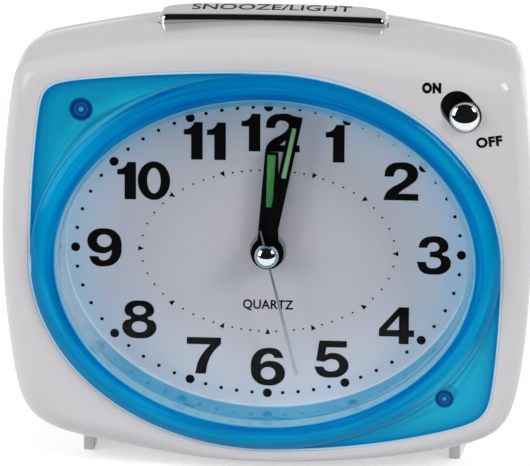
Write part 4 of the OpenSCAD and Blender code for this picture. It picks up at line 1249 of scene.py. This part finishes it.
# Words on the dial and the case: name, words, box, depth, slot, weight and lean
FACE_WORDS = [
    ("dial_word", "QUARTZ", (-5.45, 5.6, -13.7, -11.2), DIAL_D, "dial_silver", 0.02, 0.0),
    ("word_on", "ON", (33.5, 37.6, 38.4, 40.8), 0.0, "case_white", 0.075, 0.0),
    ("word_off", "OFF", (45.2, 50.8, 26.9, 29.2), 0.0, "case_white", 0.052, -8.0),
]


def face_words():
    for name, words, (x0, x1, z0, z1), depth, slot, weight, lean in FACE_WORDS:
        piece = lettering(name, words, x0, x1, z0, z1, weight)
        stand_up(piece, (x0 + x1) / 2, depth, (z0 + z1) / 2, math.radians(lean))
        finish_piece(piece, "case", INK, slot)


# Hands: flat blades on round hubs, with luminous strips let into the two wide ones
HAND_T = 0.5
BORE_ROOM = 0.1
STRIP_RISE, STRIP_SINK = 0.06, 0.2
STRIP_ROUND = 0.05
ALARM_FRONT, HOUR_FRONT, MINUTE_FRONT, SECOND_FRONT = 9.6, 8.4, 7.2, 6.0
CAP_R, CAP_H, CAP_TOP = 2.65, 2.0, 4.0
# Name, turn, front, tail, length, base and tip widths, hub and bore radius, edge rounding, body, finish, slot, node
HANDS = [
    ("alarm_pointer", ALARM_TURN, ALARM_FRONT, 0, 17, 1.8, 0.9, 3.5, 3.0, 0.12, "alarm", HAND_GREY, "hand_grey",
     "alarm_hand"),
    ("hour_pointer", HOUR_TURN, HOUR_FRONT, 0, 22.7, 4.8, 2.9, 3.6, 2.25, 0.12, "hour", HAND_BLACK, "hand_black",
     "hour_hand"),
    ("minute_pointer", MINUTE_TURN, MINUTE_FRONT, 0, 31.6, 2.5, 2.6, 3.0, 1.5, 0.12, "minute", HAND_BLACK,
     "hand_black", "minute_hand"),
    ("sweep_pointer", SECOND_TURN, SECOND_FRONT, 5.7, 27.6, 0.3, 0.8, 2.35, 0.75, 0.08, "second", HAND_GREY,
     "hand_grey", "second_hand"),
]
# Name, turn, front, start, end, base and tip widths, body, finish, slot
STRIPS = [
    ("hour_strip", HOUR_TURN, HOUR_FRONT, 10.4, 22.1, 1.4, 1.8, "hour", HOUR_GREEN, "hand_black"),
    ("minute_strip", MINUTE_TURN, MINUTE_FRONT, 17.6, 29.0, 1.0, 0.9, "minute", MINUTE_GREEN, "hand_black"),
]


def taper(start, end, base_w, tip_w):
    return [(-base_w / 2, start), (base_w / 2, start), (tip_w / 2, end), (-tip_w / 2, end)]


def blade(name, turn, front, tail, length, base_w, tip_w, hub_r, bore_r, rounding):
    back = front + HAND_T
    body = prism(name, taper(-tail, length, base_w, tip_w), (front, back))
    carve(body, rod("hub", (0, 0), hub_r, front, back, 64), "UNION")
    carve(body, rod("bore", (0, 0), bore_r, front - 1, front + 2, 48))

    def on_front_edge(a, b):
        out = max(math.hypot(a[0], a[2]), math.hypot(b[0], b[2]))
        return abs(a[1] - front) < NEAR and abs(b[1] - front) < NEAR and out > bore_r + BORE_ROOM

    soften(body, rounding, 2, on_front_edge)
    turn_hand(body, turn)
    smooth(body, 40)
    return body


def turn_hand(piece, turn):
    """Turns a hand clockwise, seen from the front, about the dial centre."""
    a = math.radians(turn)
    centre = place(0, 0, 0)
    for vertex in piece.data.vertices:
        x, z = vertex.co.x - centre.x, vertex.co.z - centre.z
        vertex.co.x = centre.x + x * math.cos(a) + z * math.sin(a)
        vertex.co.z = centre.z - x * math.sin(a) + z * math.cos(a)


def strip(name, turn, front, start, end, base_w, tip_w):
    piece = prism(name, taper(start, end, base_w, tip_w), (front - STRIP_RISE, front + STRIP_SINK))
    soften(piece, STRIP_ROUND, 2, lambda a, b: max(a[1], b[1]) < front)
    turn_hand(piece, turn)
    smooth(piece)
    return piece


def hands():
    for *sizes, body, finish, slot, node in HANDS:
        finish_piece(blade(*sizes), body, finish, slot, node)
        for *strip_sizes, owner, glow, strip_slot in STRIPS:
            if owner == body:
                finish_piece(strip(*strip_sizes), owner, glow, strip_slot)
    cap = turned("hub_cap", (0, 0), dome(CAP_R, CAP_H, CAP_TOP) + [(0, CAP_TOP + CAP_H)], 64)
    smooth(cap)
    finish_piece(cap, "second", CHROME, "chrome", "second_cap")


# Snooze bar with a crowned top, rounded ends and a keeper flange inside the case
KEEPER_OUT = 1.5
KEEPER_DEEP = 0.7
KEEPER_T = 1.2
BAR_MID = BAR_START + BAR_D / 2
BAR_TOP_STEPS = (0.75, 0.5, 0.25, 0.0)
BAR_WORDS_BOX = (-17.5, 17.5, 0, 5.6)
BAR_WORDS_WEIGHT = 0.01
BAR_WORDS_SHIFT = 0.5


def bar_top(x):
    return CASE_UP + BAR_RISE - WORD_ROOM - BAR_CROWN_R + math.sqrt(BAR_CROWN_R ** 2 - x ** 2)


def bar_plan(count=48):
    """Outline of the bar from above: straight front edge, rounded rear corners."""
    front, rear = [], []
    for i in range(count + 1):
        x = -BAR_W / 2 * math.cos(math.pi * i / count)
        over = max(0, abs(x) - BAR_W / 2 + BAR_FRONT_R)
        front.append((x, BAR_START + BAR_FRONT_R - math.sqrt(max(0, BAR_FRONT_R ** 2 - over ** 2))))
        over = max(0, abs(x) - BAR_W / 2 + BAR_CORNER_W) / BAR_CORNER_W
        rear.append((x, BAR_START + BAR_D - BAR_CORNER_D * (1 - math.sqrt(max(0, 1 - over ** 2)))))
    return front + rear[::-1]


def inset(plan, amount):
    """The outline moved inwards, each point square to the line through its neighbours."""
    moved = []
    for i, (x, d) in enumerate(plan):
        (x0, d0), (x1, d1) = plan[i - 1], plan[(i + 1) % len(plan)]
        length = math.hypot(x1 - x0, d1 - d0)
        moved.append((x - amount * (d1 - d0) / length, d + amount * (x1 - x0) / length))
    return moved


def snooze_bar():
    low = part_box("snooze_bar")[0][2] / MM - CENTRE_Z
    plan = bar_plan()
    rings = [[(x, d, low) for x, d in plan]]
    for t in arc(8):
        line = inset(plan, BAR_ROUND * (1 - math.cos(t)))
        rings.append([(x, d, bar_top(x) - BAR_ROUND * (1 - math.sin(t))) for x, d in line])
    edge = inset(plan, BAR_ROUND)
    for share in BAR_TOP_STEPS:
        rings.append([(x, BAR_MID + (d - BAR_MID) * share, bar_top(x)) for x, d in edge])
    bar = skin("snooze_bar_top", rings, "caps")
    smooth(bar, 60)
    half = BAR_W / 2 + KEEPER_OUT
    keeper = brick("keeper", -half, half, BAR_START - KEEPER_DEEP, BAR_START + BAR_D + KEEPER_DEEP, low,
                   low + KEEPER_T)
    bar = join("snooze_bar_top", [bar, keeper])
    finish_piece(bar, "snooze", BAR_SILVER, "plated_plastic", "snooze_bar")
    words = lettering("bar_words", "SNOOZE/LIGHT", *BAR_WORDS_BOX, BAR_WORDS_WEIGHT)
    for vertex in words.data.vertices:
        x, y, z = vertex.co.x / MM - BAR_WORDS_SHIFT, vertex.co.y / MM, vertex.co.z / MM
        vertex.co = place(x, BAR_MID + BAR_WORDS_SHIFT + y, bar_top(x) + z)
    tidy_mesh(words)
    finish_piece(words, "snooze", INK, "plated_plastic")


# Two wire springs under the bar, made in one fixed shape
SPRING_R = 2.4
SPRING_WIRE = 0.25
SPRING_TURNS = 5
SPRING_STEPS = 20
WIRE_SIDES = 10


def snooze_coils():
    low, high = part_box("snooze_springs")
    base = low[2] / MM - CENTRE_Z
    height = (high[2] - low[2]) / MM
    reach = high[0] / MM - SPRING_R - SPRING_WIRE
    middle = (low[1] + high[1]) / 2 / MM - FRONT_Y
    last = SPRING_TURNS * SPRING_STEPS
    coils = []
    for side in (-1, 1):
        rings = []
        for step in range(last + 1):
            turn = 2 * math.pi * step / SPRING_STEPS
            rise = base + SPRING_WIRE + (height - 2 * SPRING_WIRE) * step / last
            section = []
            for a in turns(WIRE_SIDES):
                out, up = spoke((SPRING_R, rise), SPRING_WIRE, a)
                section.append((*spoke((side * reach, middle), out, turn), up))
            rings.append(section)
        coils.append(skin("snooze_coil", rings, "caps"))
    piece = join("snooze_coils", coils)
    smooth(piece, 40)
    finish_piece(piece, "case", STEEL, "steel", "snooze_springs")
    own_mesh(piece)


# Alarm switch knob, a plated dome on a short stem
KNOB_RIM = 0.5
KNOB_BACK = 1.8
STEM_BACK = 3.75


def switch_knob():
    profile = dome(KNOB_R, KNOB_RISE - KNOB_RIM, -KNOB_RISE)
    profile += [(KNOB_R, KNOB_BACK), (KNOB_R / 2, KNOB_BACK), (KNOB_R / 2, STEM_BACK), (0, STEM_BACK)]
    piece = turned("switch_button", SWITCH_OFF, profile, 64)
    smooth(piece, 40)
    finish_piece(piece, "alarm_switch", CHROME, "plated_plastic", "switch_knob")


# Setting knobs on the back, ridged round the edge, with a sunk top
RIDGES = 24
RIDGE_POINTS = 6


def setting_knob(name, axis, body, node):
    back = CASE_DEPTH + SEAT_GAP
    top = back + SET_KNOB_H

    def section(drawn_in, depth, cut):
        points = []
        for a in turns(RIDGES * RIDGE_POINTS):
            x, z = spoke(axis, SET_KNOB_R - drawn_in - cut * (0.5 + 0.5 * math.cos(RIDGES * a)) ** 2, a)
            points.append((x, depth, z))
        return points

    rings = [section(SET_KNOB_R, back, 0), section(0.3, back, 0.3), section(0, back + 0.3, 0.45),
             section(0, top - 0.6, 0.45), section(0.15, top - 0.25, 0.35), section(0.55, top, 0.1),
             section(1.2, top, 0), section(1.5, top - 0.4, 0), section(SET_KNOB_R, top - 0.4, 0)]
    piece = skin(name, rings, "poles")
    smooth(piece, 40)
    finish_piece(piece, body, KNOB_GREY, "knob_grey", node)


# Battery door with grip grooves
DOOR_EDGE = 0.3
PLUG_LAP = 0.1
GROOVES = 6
GROOVE_FROM = 5
GROOVE_STEP = 1.6
GROOVE_HALF = 0.4
GROOVE_D = 0.5
GROOVE_INSET = 3.5


def battery_door():
    x0, x1, z0, z1 = BAY
    rim = DOOR_RIM + FIT_GAP
    front = CASE_DEPTH - DOOR_T
    door = brick("door_panel", x0 + FIT_GAP, x1 - FIT_GAP, front, CASE_DEPTH, z0 + FIT_GAP, z1 - FIT_GAP)
    soften(door, DOOR_EDGE, 3, lambda a, b: min(a[1], b[1]) > CASE_DEPTH - NEAR)
    plug = brick("door_plug", x0 + rim, x1 - rim, front - DOOR_T, front + PLUG_LAP, z0 + rim, z1 - rim)
    for i in range(GROOVES):
        x = x1 - GROOVE_FROM - GROOVE_STEP * i
        carve(door, brick("groove", x - GROOVE_HALF, x + GROOVE_HALF, CASE_DEPTH - GROOVE_D, CASE_DEPTH + CUT_OVER,
                          z0 + GROOVE_INSET, z1 - GROOVE_INSET))
    smooth(door)
    door = join("door_panel", [door, plug])
    finish_piece(door, "battery_door", CASE_WHITE, "case_white", "battery_door")


# Case screws with cross recesses
SHANK_R = 1.1
SHANK_END = FRONT_DEPTH - 10
SHANK_TIP = FRONT_DEPTH - 10.8
CROSS_REACH, CROSS_HALF = 1.3, 0.25
CROSS_FROM, CROSS_TO = 0.5, 3
SCREW_DOME = [(0, 1.4), (1.4, 1.35), (2.0, 1.1), (SCREW_HEAD_R, 0.6), (SCREW_HEAD_R, 0), (SHANK_R, 0)]


def case_screws():
    profile = [(r, SCREW_HEAD_D + rise) for r, rise in SCREW_DOME] + [(SHANK_R, SHANK_END), (0, SHANK_TIP)]
    pieces = []
    for x, z in SCREW_WELLS:
        head = turned("screw", (x, z), profile, 32)
        for w, h in ((CROSS_REACH, CROSS_HALF), (CROSS_HALF, CROSS_REACH)):
            carve(head, brick("cross", x - w, x + w, SCREW_HEAD_D + CROSS_FROM, SCREW_HEAD_D + CROSS_TO, z - h, z + h))
        smooth(head)
        pieces.append(head)
    finish_piece(join("rear_screws", pieces), "case", STEEL, "steel", "case_screws")


front_case()
rear_cover()
bezel()
lens()
dial_ring()
dial()
dial_numbers()
dial_dots()
face_words()
hands()
snooze_bar()
snooze_coils()
switch_knob()
setting_knob("time_setting_knob", TIME_AXIS, "time_set", "time_knob")
setting_knob("alarm_setting_knob", ALARM_AXIS, "alarm_set", "alarm_knob")
battery_door()
case_screws()

# Finishes for the nodes that keep their own shape
NODE_FINISH = {
    "case_white": CASE_WHITE, "bezel_blue": BEZEL_BLUE, "lens_clear": LENS_MATERIAL, "ring_blue": RING_BLUE,
    "dial_silver": DIAL_SILVER, "plate_grey": PLATE_GREY, "hand_black": HAND_BLACK, "hand_grey": HAND_GREY,
    "chrome": CHROME, "steel": STEEL, "plated_plastic": BAR_SILVER, "black_plastic": BLACK_PLASTIC,
    "knob_grey": KNOB_GREY, "wheel_plastic": WHEEL, "brass": BRASS, "magnet": MAGNET, "copper": COPPER,
    "board_green": BOARD, "cell_jacket": CELL, "lamp_clear": LAMP, "wire_red": WIRE,
}
for subpart in frame["record"]["subparts"]:
    node = frame["nodes"][subpart["node"]]
    finish = NODE_FINISH[subpart["material_slot"]]
    if node.data.materials:
        for index in range(len(node.data.materials)):
            node.data.materials[index] = finish
    else:
        node.data.materials.append(finish)


# Pale floor, soft lamps and the camera of the photograph
FLOOR_SIZE = 6
FLOOR_AT = (0, 2.85, -0.0002)
FLOOR_PALE, FLOOR_BOUNCE = grey(0.9), grey(0.76)
FLOOR_ROUGH = 0.6
FLOOR_GLOW = 0.5
ROOM_LEVEL = 0.01
BACK_LEVEL = 0.65
WORLD_LEVEL = 0.45
ROOM_EDGE = (-0.3, 0.1)
WHITE = grey(1)
CAMERA_AZ, CAMERA_EL, CAMERA_ROLL = math.radians(3.754), math.radians(14.953), math.radians(0.296)
CAMERA_DISTANCE = 1038.1
PHOTO_W, PHOTO_H = 530, 466
FOCAL_PX = 4693.0
CENTRE_PX = (272.42, 233.5)
SENSOR_W = 36.0
CAMERA_FAR = 20
AIM = (0, 0, CENTRE_Z * MM)


def floor():
    clear_selection()
    bpy.ops.mesh.primitive_plane_add(size=FLOOR_SIZE, location=FLOOR_AT)
    piece = bpy.context.object
    piece.name = "floor"
    bpy.ops.object.transform_apply(location=True, rotation=True, scale=True)
    material, tree, shader = new_material("Pale floor")
    shader.inputs["Roughness"].default_value = FLOOR_ROUGH
    rays = tree.nodes.new("ShaderNodeLightPath")
    pale = mix_colour(tree, rays.outputs["Is Diffuse Ray"], FLOOR_PALE, FLOOR_BOUNCE)
    tree.links.new(pale, shader.inputs["Base Color"])
    seen = math_node(tree, "ADD", rays.outputs["Is Camera Ray"], rays.outputs["Is Glossy Ray"])
    seen = math_node(tree, "MINIMUM", math_node(tree, "ADD", seen, rays.outputs["Is Transmission Ray"]), 1.0)
    shader.inputs["Emission Color"].default_value = WHITE
    tree.links.new(math_node(tree, "MULTIPLY", seen, FLOOR_GLOW), shader.inputs["Emission Strength"])
    piece.data.materials.append(material)


def lamp(name, position, target, size, power):
    light = bpy.data.lights.new(name, "AREA")
    light.shape = "RECTANGLE"
    light.size, light.size_y = size
    light.energy = power
    piece = bpy.data.objects.new(name, light)
    bpy.context.scene.collection.objects.link(piece)
    piece.location = position
    piece.rotation_euler = (Vector(target) - Vector(position)).to_track_quat("-Z", "Y").to_euler()


def world():
    """White behind the clock; gloss on its front shows a darker room."""
    sky = bpy.data.worlds.new("Studio")
    bpy.context.scene.world = sky
    sky.use_nodes = True
    tree = sky.node_tree
    background = tree.nodes["Background"]
    rays = tree.nodes.new("ShaderNodeLightPath")
    back = axis_part(tree, tree.nodes.new("ShaderNodeTexCoord").outputs["Generated"], "Y")
    room = smooth_range(tree, back, *ROOM_EDGE, ROOM_LEVEL, BACK_LEVEL)
    glossy = math_node(tree, "ADD", rays.outputs["Is Glossy Ray"], rays.outputs["Is Transmission Ray"])
    glossy = math_node(tree, "MINIMUM", glossy, 1.0)
    seen = rays.outputs["Is Camera Ray"]
    plain = math_node(tree, "MULTIPLY", math_node(tree, "SUBTRACT", 1.0, glossy), WORLD_LEVEL)
    shone = math_node(tree, "ADD", math_node(tree, "MULTIPLY", glossy, room), plain)
    unseen = math_node(tree, "MULTIPLY", math_node(tree, "SUBTRACT", 1.0, seen), shone)
    tree.links.new(math_node(tree, "ADD", seen, unseen), background.inputs["Strength"])
    background.inputs["Color"].default_value = WHITE


def camera():
    data = bpy.data.cameras.new("photo_camera")
    piece = bpy.data.objects.new("photo_camera", data)
    bpy.context.scene.collection.objects.link(piece)
    bpy.context.scene.camera = piece
    data.sensor_fit = "HORIZONTAL"
    data.sensor_width = SENSOR_W
    data.lens = FOCAL_PX * SENSOR_W / PHOTO_W
    data.shift_x = (PHOTO_W / 2 - CENTRE_PX[0]) / PHOTO_W
    data.shift_y = (CENTRE_PX[1] - PHOTO_H / 2) / PHOTO_W
    data.clip_end = CAMERA_FAR
    back = Vector((math.sin(CAMERA_AZ) * math.cos(CAMERA_EL), -math.cos(CAMERA_AZ) * math.cos(CAMERA_EL),
                   math.sin(CAMERA_EL)))
    level = Vector((math.cos(CAMERA_AZ), math.sin(CAMERA_AZ), 0))
    above = back.cross(level)
    right = level * math.cos(CAMERA_ROLL) + above * math.sin(CAMERA_ROLL)
    up = above * math.cos(CAMERA_ROLL) - level * math.sin(CAMERA_ROLL)
    at = (Vector((0, 0, CENTRE_Z)) + back * CAMERA_DISTANCE) * MM
    matrix = piece.matrix_world.copy()
    for row in range(3):
        matrix[row][0], matrix[row][1], matrix[row][2], matrix[row][3] = right[row], up[row], back[row], at[row]
    piece.matrix_world = matrix


floor()
world()
lamp("left_softbox", (-0.85, -0.5, 0.4), AIM, (0.5, 0.7), 3.7)
lamp("right_softbox", (0.8, -0.5, 0.6), AIM, (0.3, 0.4), 3.6)
camera()
bpy.context.scene.view_settings.view_transform = "Standard"
